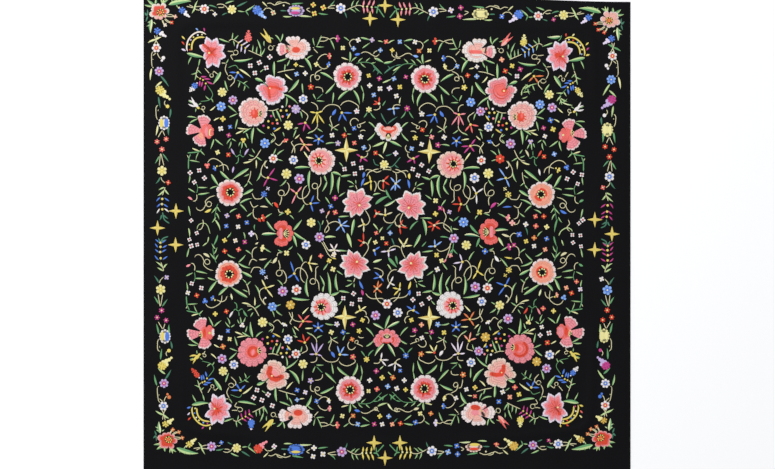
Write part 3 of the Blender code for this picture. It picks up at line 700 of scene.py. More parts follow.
def raise_mark(work, place, shape, values, silk, rise):
    """Works a raised mark of a large flower: a ring of knots, a single stitch or a fan of stamens."""
    if shape == "knots":
        right, away, ring, count, diameter = values
        u, v = place[0] * work.mirror[0] * CM, place[1] * work.mirror[1] * CM
        for k in range(int(count)):
            turn = math.tau * (k + 0.3 * chance(k, u, v)) / count
            work.knot(place[0] + right + ring * math.cos(turn), place[1] + away + ring * math.sin(turn),
                      diameter, silk, rise)
    elif shape == "stitch":
        width, *ends = values
        points = [(place[0] + right, place[1] + away) for right, away in zip(ends[::2], ends[1::2])]
        work.cord(points, width, silk, 0.6, 0.9)
    elif shape == "fan":
        right, away, reach, start, end, count, width = values
        for k in range(int(count)):
            turn = math.radians(start + (end - start) * k / (count - 1))
            tip = (place[0] + right + reach * math.cos(turn), place[1] + away + reach * math.sin(turn))
            work.cord([(place[0] + right, place[1] + away), tip], width, silk, 0.6, 0.9)
            work.knot(*tip, width * 1.5, silk, 0.95)


def large_flower(name, kind, place, mirror, off, quarter, slot):
    """One large flower: long and short stitches from its heart to a petalled rim, with its raised stamens."""
    look = {**PLAIN_LOOK, **LOOKS[kind]}
    turn, reach, edge = rim_of(kind, FLOWER_SECTORS)
    reach = reach * (0.965 + 0.035 * np.abs(np.sin(math.pi * np.arange(FLOWER_SECTORS) / 4)))
    mesh, column, row = blank(FLOWER_SECTORS, FLOWER_RINGS + 1, ring=look["open"])
    share = np.where(row <= FLOWER_RINGS, (row / FLOWER_RINGS) ** 0.92, 0.0)
    heart_x, heart_y, heart_r = look["heart"]
    right, away = np.cos(math.tau * turn), np.sin(math.tau * turn)
    inner = heart_r if look["open"] else 0.0
    inner = inner * (1 + 0.10 * np.sin(math.tau * 8 * turn + quarter)
                     + 0.08 * np.sin(math.tau * 5 * turn + 2.0))
    start_x, start_y = heart_x + inner * right, heart_y + inner * away
    x = start_x[column] + (reach * right - start_x)[column] * share
    y = start_y[column] + (reach * away - start_y)[column] * share
    angle = (math.tau * turn)[column]
    bands = look["bands"][quarter % len(look["bands"])].split()
    stops = [int(b[1:]) / 100 for b in bands]
    shades = np.array([tone(b[0]) for b in bands])
    wave = np.sin(7 * angle + 1.3) * 0.6 + np.sin(13 * angle + 2.9 + quarter) * 0.5 + np.sin(23 * angle) * 0.3
    at = np.clip(share + look["ragged"] * wave * np.clip(1.3 - 1.6 * share, 0, 1), 0, 1)
    colours = np.column_stack([np.interp(at, stops, shades[:, k]) for k in range(3)])
    for silk, shape, values in marks_in(look, quarter):
        colours += (tone(silk) - colours) * cover(shape, values, x, y, share, angle)[:, None]
    groove = edge[column] * np.clip((share - 0.45) / 0.4, 0, 1)
    for step in look["rows"]:
        groove = np.maximum(groove, np.exp(-((share - step - 0.02 * np.cos(12 * angle)) / 0.028) ** 2) * 0.4)
    # painted shade: the colour is darkened in the sunken grooves between scallops and rows of petals
    colours *= (1 - GROOVE_PAINTED_SHADE * groove)[:, None]
    profile = np.clip((1 - share) / PAD_EDGE, 0, 1) ** 0.5
    if look["open"]:
        profile *= np.clip(share / PAD_EDGE, 0, 1) ** 0.5
    height = (PAD_HEIGHT * profile - GROOVE_DEPTH * groove * profile) * MM
    work = Needlework(mirror)
    off_x, off_y = off[0] * MM, off[1] * MM
    u, v = place[0] * mirror[0] * CM, place[1] * mirror[1] * CM
    middle_x, middle_y = laid(np.array([u]), np.array([v]))
    dx, dy = mirror[0] * x * CM, mirror[1] * y * CM
    face = lift(u + off_x + dx, v + off_y + dy) + bpy.context.scene.shawl_cloth.thickness
    points = np.column_stack((middle_x[0] + off_x + dx, middle_y[0] + off_y + dy, face + height - SUNK * MM))
    fold = (1 - np.abs(2 * (angle / math.tau) - 1)) * math.pi * THREAD_RADIUS
    thread = np.column_stack((fold, np.hypot(x - heart_x, y - heart_y) * 10, np.full(len(x), chance(u, v))))
    rows_shown = np.full(len(x), 0.8 if kind in POINTED else 1.0)
    petal = np.column_stack((share * right[column], share * away[column], rows_shown))
    work.add(mesh, points, np.clip(colours, 0, 1), thread, petal)
    for silk, shape, values in marks_in(look, quarter):
        raise_mark(work, place, shape, values, silk, 0.35 if look["open"] else 0.95)
    work.piece(name, petal_floss(), slot, name)


# The charts of the small embroidery, in centimetres right and away of the pattern's middle. FIELD, BORDER and
# CORNER are for the far left quarter, and are mirrored for the others. MIDDLE is laid once, along the lines
# that the quarters meet at. A row ends at a semicolon or a line's end. Its words give silks, in the order far
# left, far right, near left, near right where they differ, and x for a quarter that lacks the motif. Each
# kind of row is explained by its stitch below.
FIELD = {
    "leaves": """
-57.5 51.7 -52.8 50.6 1.15; -56.2 50.6 -57.1 48.6; -53.8 50 -54.2 48; -54.4 46.4 -56.2 45.7
-54.6 47 -53.4 45.9; -55 45.4 -55.3 44; -47.8 46.3 -49.9 43 1.07; -48.3 55.9 -45.5 54.9
-44.5 55.7 -44.3 57.5; -44 55.6 -42.8 56.8; -44.2 55.3 -43.9 53.8; -44 49.6 -39 50.3 .74
-46.2 48.8 -45.6 50; -42.5 47.1 -39.4 44.9 yl; -46.6 43.8 -45.7 41; -51 38.4 -52.1 39.4
-50.6 38.7 -50 37.6; -42.3 43.4 -42.8 41.9; -41.4 42.8 -40.2 43.6; -40.9 42.4 -41.3 40.9
-36.5 51 -36.3 52.8; -36.3 52.8 -37.3 55.5; -37.5 51.5 -37.3 53.5; -36.4 50.9 -35.2 53
-38.7 52.1 -38.5 53.9; -35.3 55.2 -35.3 53.8; -33.8 56.2 -32.7 55.8; -32.2 56.9 -30.8 55
-30 57.3 -30.8 55; -31.7 49.3 -28.8 50.3; -28.8 48 -28 49.8; -36.5 46.2 -35.4 47.1
-32.4 49.3 -32.3 45 .74; -29.3 48.5 -29.5 46.4; -29.3 45.7 -27.3 44.1 yl; -25.3 48.1 -23.9 47.8 yl
-23.7 50.3 -21.9 46.9 .82; -23 50 -21.4 51; -37.9 44.4 -35.8 43.6 .98; -25.4 44.1 -28.2 40.7 .9
-24.4 43 -24.1 40.2; -29.8 39.8 -25.9 37.2 .57; -28.9 39 -29.2 36.4; -21.3 56.1 -20.8 53.9 .37
-18.9 56.8 -20.3 53.6 .37; -20.5 53.7 -18.2 53.6 .37; -16.3 55.5 -15.2 52.9; -12.4 56.3 -10.9 55.2
-7.6 56.2 -5 55.6 .57; -7.1 53.2 -5.1 54.7 .41; -10.7 52.1 -10.8 49.3 .66; -13.1 50.5 -11.2 49.8 yl
-8.7 50.6 -10.2 49.2; -8.3 49.1 -7 50.3; -7.6 48.9 -6.2 47.7; -6.1 49.3 -4.9 50.4
-19.2 46.1 -15.7 44.1 .74; -17.7 40.1 -15.1 43 .66; -14 38.3 -10.8 40.9 .74; -9.7 41 -8.1 37.2 .74
-6.8 40.5 -7 37.8 .41; -7.5 42.4 -6.8 40.5 .41; -15.4 40.4 -15.7 37.4 .49; -21.3 40 -20.5 38.5
-20.2 38 -18.1 37.9 .41; -57.1 38 -56 37.3; -53.4 37.3 -54.2 36.8; -54.9 35.8 -55 34.8
-50.9 35.2 -49.4 36.5 yl; -45.7 36.6 -43.4 34.7; -45.3 33.3 -43 34.3 .41; -57.4 33.4 -54.8 33.1
-56.7 31.6 -54.2 32.9; -49.8 32.3 -48.2 33.1 yl; -43 32.7 -43.6 30; -43 30.2 -39.9 29.9 .41 yl
-43.5 28.5 -41.3 29.5 yl; -41.4 28.7 -39.1 30.1; -40.5 28.7 -39.9 27.1; -49.8 27 -50.7 24.3
-49.4 27 -47.2 25.3; -44.9 27.1 -46 25.6; -44.9 26.3 -45.5 24.4; -44.6 27.1 -43.5 26.4
-42.1 26.2 -42.6 25; -41.7 26.2 -41.9 24.3; -41 25.9 -40.3 24.5; -56 24.4 -53.9 23.6 yl
-53.7 23.7 -52.4 22.4; -54.2 23.1 -54.9 21.1 .33; -56.8 20.9 -54 20.4 .41; -38.3 30.2 -38.7 26 .82
-37.4 30.2 -35.2 28.7; -32.9 35.2 -32.1 33; -31.9 35.4 -30.5 32.2; -24.9 35 -24.4 33.1
-25.6 30.3 -26.8 29.9; -26.1 29.7 -26.9 27.6; -26.5 27.1 -25.2 28.3 yl; -22.8 28.6 -21 29.5
-23.3 27.5 -21.2 27.2 yl; -32.5 28 -33.5 28.6; -33.4 25.8 -32.6 27; -30 29 -29.6 27.8
-23.9 23.4 -22.5 21.3 yl; -38 23 -38.8 24.2; -38.3 22 -39.6 22.6; -37.6 21.9 -36 20.8
-37.6 21 -37.6 18.7 yl; -41.3 20.2 -38.7 21 yl; -32.7 22.6 -32 24.3; -31.6 22.4 -29.7 23.8
-31.4 21.2 -30 20.8; -20 30.1 -18.5 29.2; -16.7 31.3 -15.9 30.4; -15.2 30 -14.1 29.5
-12.3 30.5 -11.7 29.1; -11.5 28.5 -10.3 28.5; -5.4 31.9 -3.6 29.9; -5.8 26.7 -3.8 28.9
-17.6 25.6 -15 25.9; -56.7 16.5 -57 14.5; -54.3 13.1 -51.8 13.1; -57.1 12.8 -55.2 11.7
-54.3 11.1 -51.2 11.6; -57 7.7 -56.4 5; -49 7.4 -50.3 5.8; -48.8 7.6 -47.9 6.1; -49.2 5.8 -48.3 4
-50.5 16.9 -48.4 13.7 .82; -47.9 17.8 -45.2 15.4 .82; -39.7 18.5 -44.1 15.5 .9; -50.8 12.7 -48.7 13.4
-38.4 12.6 -41.4 10.9 .82; -42.2 8.4 -38.9 9.8; -42.2 8.2 -40.3 6.2; -45.2 5.8 -43.1 6.9
-39.6 17 -41 16.3; -39.8 15 -38.7 13.9; -40.1 14.3 -41.1 13.2; -40.2 4.8 -38.7 6; -36.3 17.7 -37.5 15.1
-26.5 18.7 -22.3 18.8 .74; -22.1 17.9 -22.2 12.8 .82; -29 15.3 -30.7 13.6; -23.8 8.3 -25.4 6.1
-34.9 10.3 -32.9 7.9; -34.9 4.4 -33.1 5.6; -31 5 -29.6 5.7; -28 5.1 -26.9 4; -18 16.6 -17.3 14.8 .57
-17.3 14.8 -18.6 12.1 .57; -16 17.5 -16.5 11.4 .9; -15.8 17.4 -13.3 16.5 .82; -13.2 16.3 -10.5 16.8 .66
-13.5 16.2 -13.8 11.7 .82; -13.7 20.3 -12.7 19.1; -11.4 15 -9.5 14; -9 15.3 -8.9 14.2
-10.9 13.3 -9.5 13.6; -13.8 10.5 -12.1 11.7; -17.7 10.3 -16.4 8.4; -13.8 4.7 -11 4.9
-39.2 41.8 -40.9 43.5 .35 x/L/x/x; -39.8 42.2 -43.4 43.7 .4 x/L/x/x; -38.9 40.4 -39.2 42 .4 x/L/x/x
-39 39.6 -40.6 40.3 .3 x/L/x/x; -39.4 41.2 -41.5 41.4 .3 x/L/x/x; -51 41.1 -49.3 41 .4 x/L/x/x
-51.1 41.6 -52 40.3 .35 x/L/x/x; -50.5 40.2 -49.3 38.6 .45 x/L/x/x; -50.4 39.6 -52.1 38.8 .4 x/L/x/x
-50.7 38.4 -53.6 37.8 .4 x/l/x/x; -50.2 39.3 -50.6 37.6 .4 x/L/x/x; -50.8 58 -47.2 57.8 1 x/Gl/x/x""",
    "stems": """
-54.2 48 -54.9 45.5 -54 44.5; .22 -51.8 42.7 -50.2 40.2 -50.5 38.8 -51.5 38.1 -53.8 37.8 G
-52.5 47.5 -51 45.8; -50 45.7 -49.8 46.5 -48.5 45.5; -45.6 55.1 -44.5 55.7 -42.8 54.8
-46 52.3 -44.8 52.2 -44.1 52.3; -43.3 51.3 -44.9 51 -44.2 49.6; -47.7 48.9 -46.2 48.8
-46.1 48.8 -46.5 47 -45.7 45.2; -44.5 44.9 -44 44.5 -43.9 43.5 -45.2 42
.22 -45.8 47.5 -43.6 48.2 -42.6 47 G; .22 -43.2 44 -41.2 43 -39.5 41.5 G; -40 52.6 -37.5 51.5 -35.8 50.7
-33 53.7 -32 53.9; -31.7 46.1 -29 46.7 -26.4 47.1; .22 -35.8 43.6 -34.4 42.2 G; -21.5 53.1 -20.8 53.5
-21.2 53.1 -19.8 51.6; -19.5 56 -18.5 56.3 -17 56 -16.5 55.7 -15.5 56.1 -14.5 55.9
-19.6 55.2 -18 55.2 -16.8 55.8; -8.9 55.7 -10 55.6 -10.8 54.6 -10.2 53.2
-7.7 51.5 -6.7 52.1 -5.5 52 -4.3 51.3 -3.2 50.9 -2.1 51.7
.22 -9.1 48.7 -7.5 49.1 -5.6 49.1 -4 48.4 -1.3 45.6 G; -17 51.2 -18 51.4 -19.3 50.7 -20.1 49.5
-19.8 48.3 -19 47.5 -18 47.2 -17 47.6; -18.6 47.1 -20.4 46.1 -20.8 44.4
-20.8 45.6 -21.8 45.3 -22 44 -21.8 43.2; -20.8 41.9 -19.5 41.9 -18.6 41.4 -18.4 40.3
.25 G -18.4 40.1 -20.2 38.4; -53.7 35.8 -52.9 35.3 -52.5 34.5
.27 G -43.8 22.6 -43.2 21.9 -42.3 22.5 -41.5 21.9 -40.9 22.1; .27 G -42.1 24.1 -42.2 22.6
.27 G -42.7 22 -42.8 20.5 -43.6 19.8; .4 G -53.3 24.4 -54 23.4 -57.5 23; -57.5 22.5 -57 21.5
.4 G -56.4 22.8 -57 21.2 -57.1 18.2; -34.3 35.2 -32.7 35.2 -31 35.8; -24.7 35.5 -22.8 33.8 -23.3 32.1
-26.6 30.2 -25.4 30.3; -33 29 -32.1 27.2 -33.4 25.8; -29.6 26.8 -31 25.2 -32.3 26
-26.9 26.6 -27.5 26 -26.6 24.5 -26.5 22.8; -27.5 22.8 -26.5 25 -25 25.6 -23.9 25.4
-36.1 24.2 -38 21.5 -40 21; -22 37.6 -21 37.3 -20.1 36.5 -19.9 35.2
-20 31.6 -20.1 30.5 -21 29.5 -22 28.8; -18.9 34.8 -18 36 -16.8 36.8 -15.2 36.9 -13.9 36.4 -13.2 35.3
-13.5 36.5 -12.6 37.5 -11 38 -9.4 37.4 -8.2 36.4 -8.4 35.4
-15.9 33.8 -16.4 33 -15.9 31.3 -15.8 30.3 -16.1 29.2; -15.9 30 -14.8 30.7 -13.6 31.4
-10.2 30.6 -10.6 31.8 -10 32.8 -8.9 32.9 -8 32; -8.2 31.2 -7 31.6 -6.1 32.1
-7.9 29 -7.6 29.4 -6.9 29.6 -6.1 29.4; -5.3 25.6 -4.9 24.7 -5.4 23.7 -6.3 23.5
-5.6 23.4 -5.8 22.3 -6.7 21.8 -7.5 22.2; .22 -54.8 14.2 -54.4 13 -54.7 11.3 G
-54.7 11.2 -54.6 10 -55.1 9.2 -55.9 9.2
-49.2 10.8 -50.8 10.3 -51.9 9.5 -52.2 8.9 -52 8.3 -52.6 7 -53.5 6.4 -54.5 6.8 -54.8 7.6
.22 -48.4 8.6 -48.9 7.5 -49.4 5 -49.4 3.8 G
-51.7 20 -50.9 21.1 -49.7 21.4 -48.3 20.8 -47.2 19.7 -47 17.6
-48.6 19.1 -47.8 19.4 -47 19.7 -46 19.2 -45.5 17.9; -39.1 18 -39.4 16 -40.1 14.3
-34.8 21 -35.3 20 -35.9 19 -36.2 17.8 -36 16.6 -35 15.9 -34.4 15.8
-34.4 21 -35.1 20 -35.1 19.2 -34.5 18.8; -28.9 14.7 -28.2 13.8 -28.2 12.4 -29 11.1 -29.8 10.6
-30.4 10.6 -30.3 9.7 -30.9 7.9; -26 11.3 -25.6 10.3 -24.9 9.9 -24 10 -22.9 10.8 -22.2 12.2 -22.3 12.9
-22.8 13.9 -23.9 12.7 -24.3 11 -24 9.3 -23.2 8.3 -22.3 8.3; -35.5 11 -36 10 -37 9.8 -38 10 -38.8 11.6
-39.3 9.3 -38.9 8.2 -38.2 7.4 -36.8 8.1; -38.2 7.3 -38.4 5.8 -38 4.5 -36.9 3.9; -31.3 7.1 -30.9 6 -29.7 6
-19.1 16.4 -19 14.5 -19.4 13.4 -19.9 12.8 -19.9 11 -19.9 9.9 -19 9.1; -9.1 14 -8.5 12.4
-6.3 17.7 -5.8 18.3 -4.8 18.2 -4 18 -2.8 17.6 -1.4 18.2 C/C/x/x
-5.9 16.2 -5.2 17.5 -4.2 18 -3.3 18.4 -2.2 18.6 C/C/x/x
-6.4 6.8 -5.4 5.4 -4.8 4 -5.2 2.9 -6 2.4 -6.6 2.5; -32.5 8.8 -33.3 8.2; -20.3 48.9 -20.1 49.5
.3 -51.3 58.5 -50.8 57.3 -49.9 56.4 x/G/x/x""",
    "curls": """
-50.4 45.3 .55 100 300; -43.5 51.9 .75 150 310; -45.1 44.7 .7 150 310; -33.4 53.2 .7 60 320
-20 44.7 .7 180 320; -52.8 36 .5 180 300; -8.1 30.8 .5 100 300; -51.1 8.3 .8 170 330
-30.4 11.5 .9 270 330; -20.7 13.5 .85 10 330""",
    "arcs": """
.55 -56.1 52.4 -56.1 54 -55.6 55.3 -54.6 56.1 -53.4 56.3 -52.3 56.2 Y
.5 -57.3 52.1 -57.6 53.3 -57.35 54.9 -56.7 56.1 -55.6 57.2 -54.2 57.8 -52.9 57.6 -51.9 57 I/Y/Y/Y""",
    "buds": """
-9.3 51.3 -7.8 51.6 .8 B/b/B/C; -15.8 33.9 -14.8 35.5 .9 B/B/B/W; -57.2 10.3 -56 9.5 .7 P/G/P/G
-52.3 6 -50.6 6.9 .8 Y/B/C/C; -36.4 7.6 -34.3 7.4 .5 C/B/C/Y; -32.5 8.8 -31.4 7.3 .9 R/M/C/W
-6.6 17.6 -6.9 16.1 .8 B/Y/M/B; -6.4 15.8 -7.3 13.6 .7 B/B/B/Y; -44.8 24.3 -43.8 22.6 .6 V/R/W/P
-39.7 24.2 -40.8 22.4 .6 V/C/G/R; -44 19.1 -44.4 17.4 .6 V/W/l/l; -27.7 34.4 -28.6 32.9 .5 Y
-30.5 30.4 -32.4 29.2 .5 Y; -53.5 45 -52 45 .55 M/B/B/B; -52.7 44.2 -50.9 44.1 .55 M/B/B/B
-51.8 43.6 -50 42.9 .55 M/B/B/B; -53.8 43.8 -54 42.3 .55 M/B/B/B; -53 43.5 -53.4 42.1 .55 M/B/B/B
-52.1 42.5 -52.5 41 .55 M/B/B/B; -42.7 54.7 -41.4 55.6 .42 v/b/M/M; -41.8 54 -40.3 54.9 .42 v/b/M/M
-40.7 53.2 -39.5 54.2 .42 v/b/M/M; -42.7 54.5 -43.1 53 .42 v/b/M/M; -41.8 53.8 -42 52.1 .42 v/b/M/M
-40.7 53 -40.9 51.6 .42 v/b/M/M; -6.7 33.2 -5.7 34.7 .4 G; -3.3 32.9 -4.7 34.7 .4 G
-59 56.6 -58.1 55.7 .5 Y/Y/R/y; -59.1 55 -58.3 54.1 .5 R/M/v/K; -59.1 52.9 -57.9 52.4 .6 v/Y/B/Y
-55 58.9 -54.3 58.2 .5 b/y/M/R; -52.7 59 -52.5 58 .5 M/R/y/Y; -33.5 55 -36.2 57.4 .6 Y/K/Y/K
-33.7 55.2 -35.4 58.5 .6 Y/K/Y/K; -33.3 54.7 -34.9 56.8 1.1 g/p/Y/p; -33.3 54.9 -33.9 56.8 .45 Y/K/Y/K
-55 36.9 -56.2 39 .5 W/W/Y/Y; -55 36.7 -56.9 38.1 .45 W/W/Y/Y; -55 36.4 -57 37.1 .55 W/W/Y/Y
-54.3 36 -55.9 37.5 1.1 W/W/Y/Y; -53.9 35.7 -54.7 36.3 .75 Y""",
    "clusters": """
-35.3 11.2 1.8 9 B/Y/b/Y; -34.2 12.8 1.2 5 v/y/W/Y; -56.1 41.4 1.5 9 W/y/R/W; -55.3 42.3 1.8 11 B/Y/R/B
-39.9 56 2.2 12 K/Y/B/Y; -39.85 57.1 1.6 9 K/y/B/y""",
    "beads": """
-53.7 44.4 .6 Y; -52.9 44 .6 Y; -52.1 43 .6 Y; -54.6 43.1 .5 W; -42.7 54.7 .6 Y; -41.8 54 .6 Y
-40.7 53.2 .6 Y; -30.1 36.3 .75 W; -28 36.4 .75 P; -30.5 35.2 .75 Y; -28.9 35.2 .75 Y; -28.6 34 .75 B
-30 33.5 .75 P; -33.3 33.6 .75 M; -31.7 32.5 .75 Y; -34.1 32.1 .75 Y; -32.9 31.5 .75 R; -31.5 31.5 .75 P
-35.5 30.8 .75 M; -34.1 30.3 .75 Y; -32.4 30 .75 B; -34.5 18.8 .6 W; -17 47.9 .7 Y; -48.9 19.2 .6 Y
-56.6 52.7 .55 R/b/y/M; -56.85 54.2 .55 Y/y/B/W; -56.4 55.5 .55 V/W/W/y; -55.65 56.3 .55 Y/b/y/B
-54.4 56.9 .55 W/R/b/R; -53.2 57.05 .5 y/W/M/y; -56.6 40.8 .6 W/y/R/W; -55.5 41.2 .65 W/y/R/W
-39.8 58 .8 K/y/v/y; -40.3 54.9 .6 W""",
    "blossoms": """
-33.7 50.6 1.8 Wr/kY/Wr/BY; -36.7 49 1.8 Wr/YY/Wr/kY; -34.7 47.5 1.8 Wr/RY/Wr/WY; -38 46 1.8 Wr/WM/Wr/KY
-39.3 48.1 1.8 Wr/MY/Wr/YY; -26.2 48.4 1.5 Yo/WY/bY/KY; -26 45.7 1.7 bY/bY/BY/YO
-23.5 45.9 1.7 WY/RY/vY/WY; -21.9 42 2 5 RY/Yy/VY/Oy; -12.7 53.2 1.7 yo/yo/yo/OY
-8.3 55.5 1.8 WY/WY/bY/BY; -9.6 53 1.7 bY/OY/OY/yY; -5.3 45.3 1.6 Yo/MY/yo/Yo; -20.3 48.5 1.7 yY/bY/BY/WY
-47.2 32.8 1.9 Yo/BY/OY/RY; -47.8 30 1.9 WY/YY/WY/Wr; -45.1 30.5 1.6 BY/MY/yY/Wr
-45.5 28.1 1.6 MY/WY/BY/WY; -41.3 26.7 1.8 3 Yo/VY/WY/yY; -48.7 23.2 1.7 yY/bW/YY/Yy
-45.6 22.5 1.7 RY/RY/RY/KY; -8.7 35 1.9 5 WP/WY/KY/OY; -15.8 28.1 1.8 WY/WY/yY/YY
-12.3 28.1 1.7 RY/PY/BY/MY; -5.2 35.5 2 6 yY/MY/YY/BY; -9.5 30.1 1.7 BY/RY/OY/WY
-7.6 27.7 1.8 5 WY/YY/YY/MY; -14.1 25.8 1.9 5 VY/MY/vY/bY; -9.4 25.9 1.7 KY/WY/MY/kY
-6.7 24.6 1.7 bY/bY/YY/YY; -56.6 17.3 1.7 Wr/Wr/WY/vY; -54 18 1.7 Wr/Wr/RY/RY; -52.5 15.8 1.7 Wr/Wr/Wr/kY
-55.4 14.6 1.6 Wr/Wr/Wr/KY; -46 5 1.7 VY/RY/RY/kY; -28.5 6.1 2 Yo/YY/yY/BY; -9.7 20 1.7 Wr
-12.2 18.4 1.7 Wr; -7.4 18.8 1.7 Wr; -9.2 17.1 1.7 Wr; -14.9 10.1 1.9 MY/yY/yY/WY
-16.1 7.7 1.7 BY/MY/YY/yY; -18.6 6.4 1.6 VY/VY/KY/PY; -14.8 6 1.8 KY/YY/IY/YY
-51.7 19.4 1.9 3 Kk/Bb/Bb/bB""",
    "daisies": """
-47.4 40.5 2.8 yY/yY/yY/VM; -44.3 38.2 2.8 VM/bB/WB/oo; -47.7 36.4 2.9 bB/VM/VM/WB
-24.1 38.5 2.8 WB/bB/yY/WB; -26.2 35.6 2.8 VV/VM/WR/VM; -28.4 31 2.9 yY/WB/WB/oo
-35.1 25.8 3 bB/VM/yY/VM; -32.7 21.4 2.8 WR/RR/bB/yY; -26.9 21 2.8 WB/WR/oo/WB; -28.9 17 3.1 yY/yY/VM/WR
-25.2 15.6 3.1 VM/WB/WR/VM""",
    "thin": """
-42.9 46.1 -45 46.2 -43.7 44.3 -41.5 44.7 BY/OY/BY/BY
-20.1 34.5 -21.9 34.8 -18.7 35 -21.4 31.8 -20 31.6 -18.3 31.9 YY/PY/VY/QY
-23.5 31.7 -25.4 31.3 -24 29.5 -22.2 30 MY/KY/RY/kY
-23.8 25.4 -24.9 27.2 -21.6 25.4 -24.8 23.8 -22.4 23.7 kY/MY/KY/OY
-13 34.6 -10.4 34.5 -13.8 32.4 -11.8 32.5 BY/BY/bY/yR
-7.3 21.8 -8.6 22.6 -7.7 20.5 -5.8 20.8 MY/MY/yY/BY
-34.2 15.9 -32.5 18.3 -31.8 15.2 -35.3 13.7 MY/bY/yY/BY
-26 11.4 -27.6 12.6 -24.7 13.1 -27.2 8.8 PY/WY/BY/YY
-21.9 8.5 -21.1 10.6 -19.7 8.7 -21.3 6.5 BY/RY/yY/vY; -4.6 14.9 -5 16.5 -6.5 14 -4.5 12.6 YY/x/x/x
-19.6 27 -20.6 28.2 -18.4 28 -21 26.4 -18.3 26.2 -19.8 25.5 BY""",
    "fans": """
-16.2 50.9 1.5 180 K/B/P/B; -16.5 48.4 1.4 170 B/y/W/y; -35.9 4.3 1.7 10 R/P/y/M
-49.3 18.7 1.3 200 B/Y/B/k; -29 26.3 1.4 120 K/B/W/W; -14.6 55.9 1.7 0 M/R/K/v""",
}
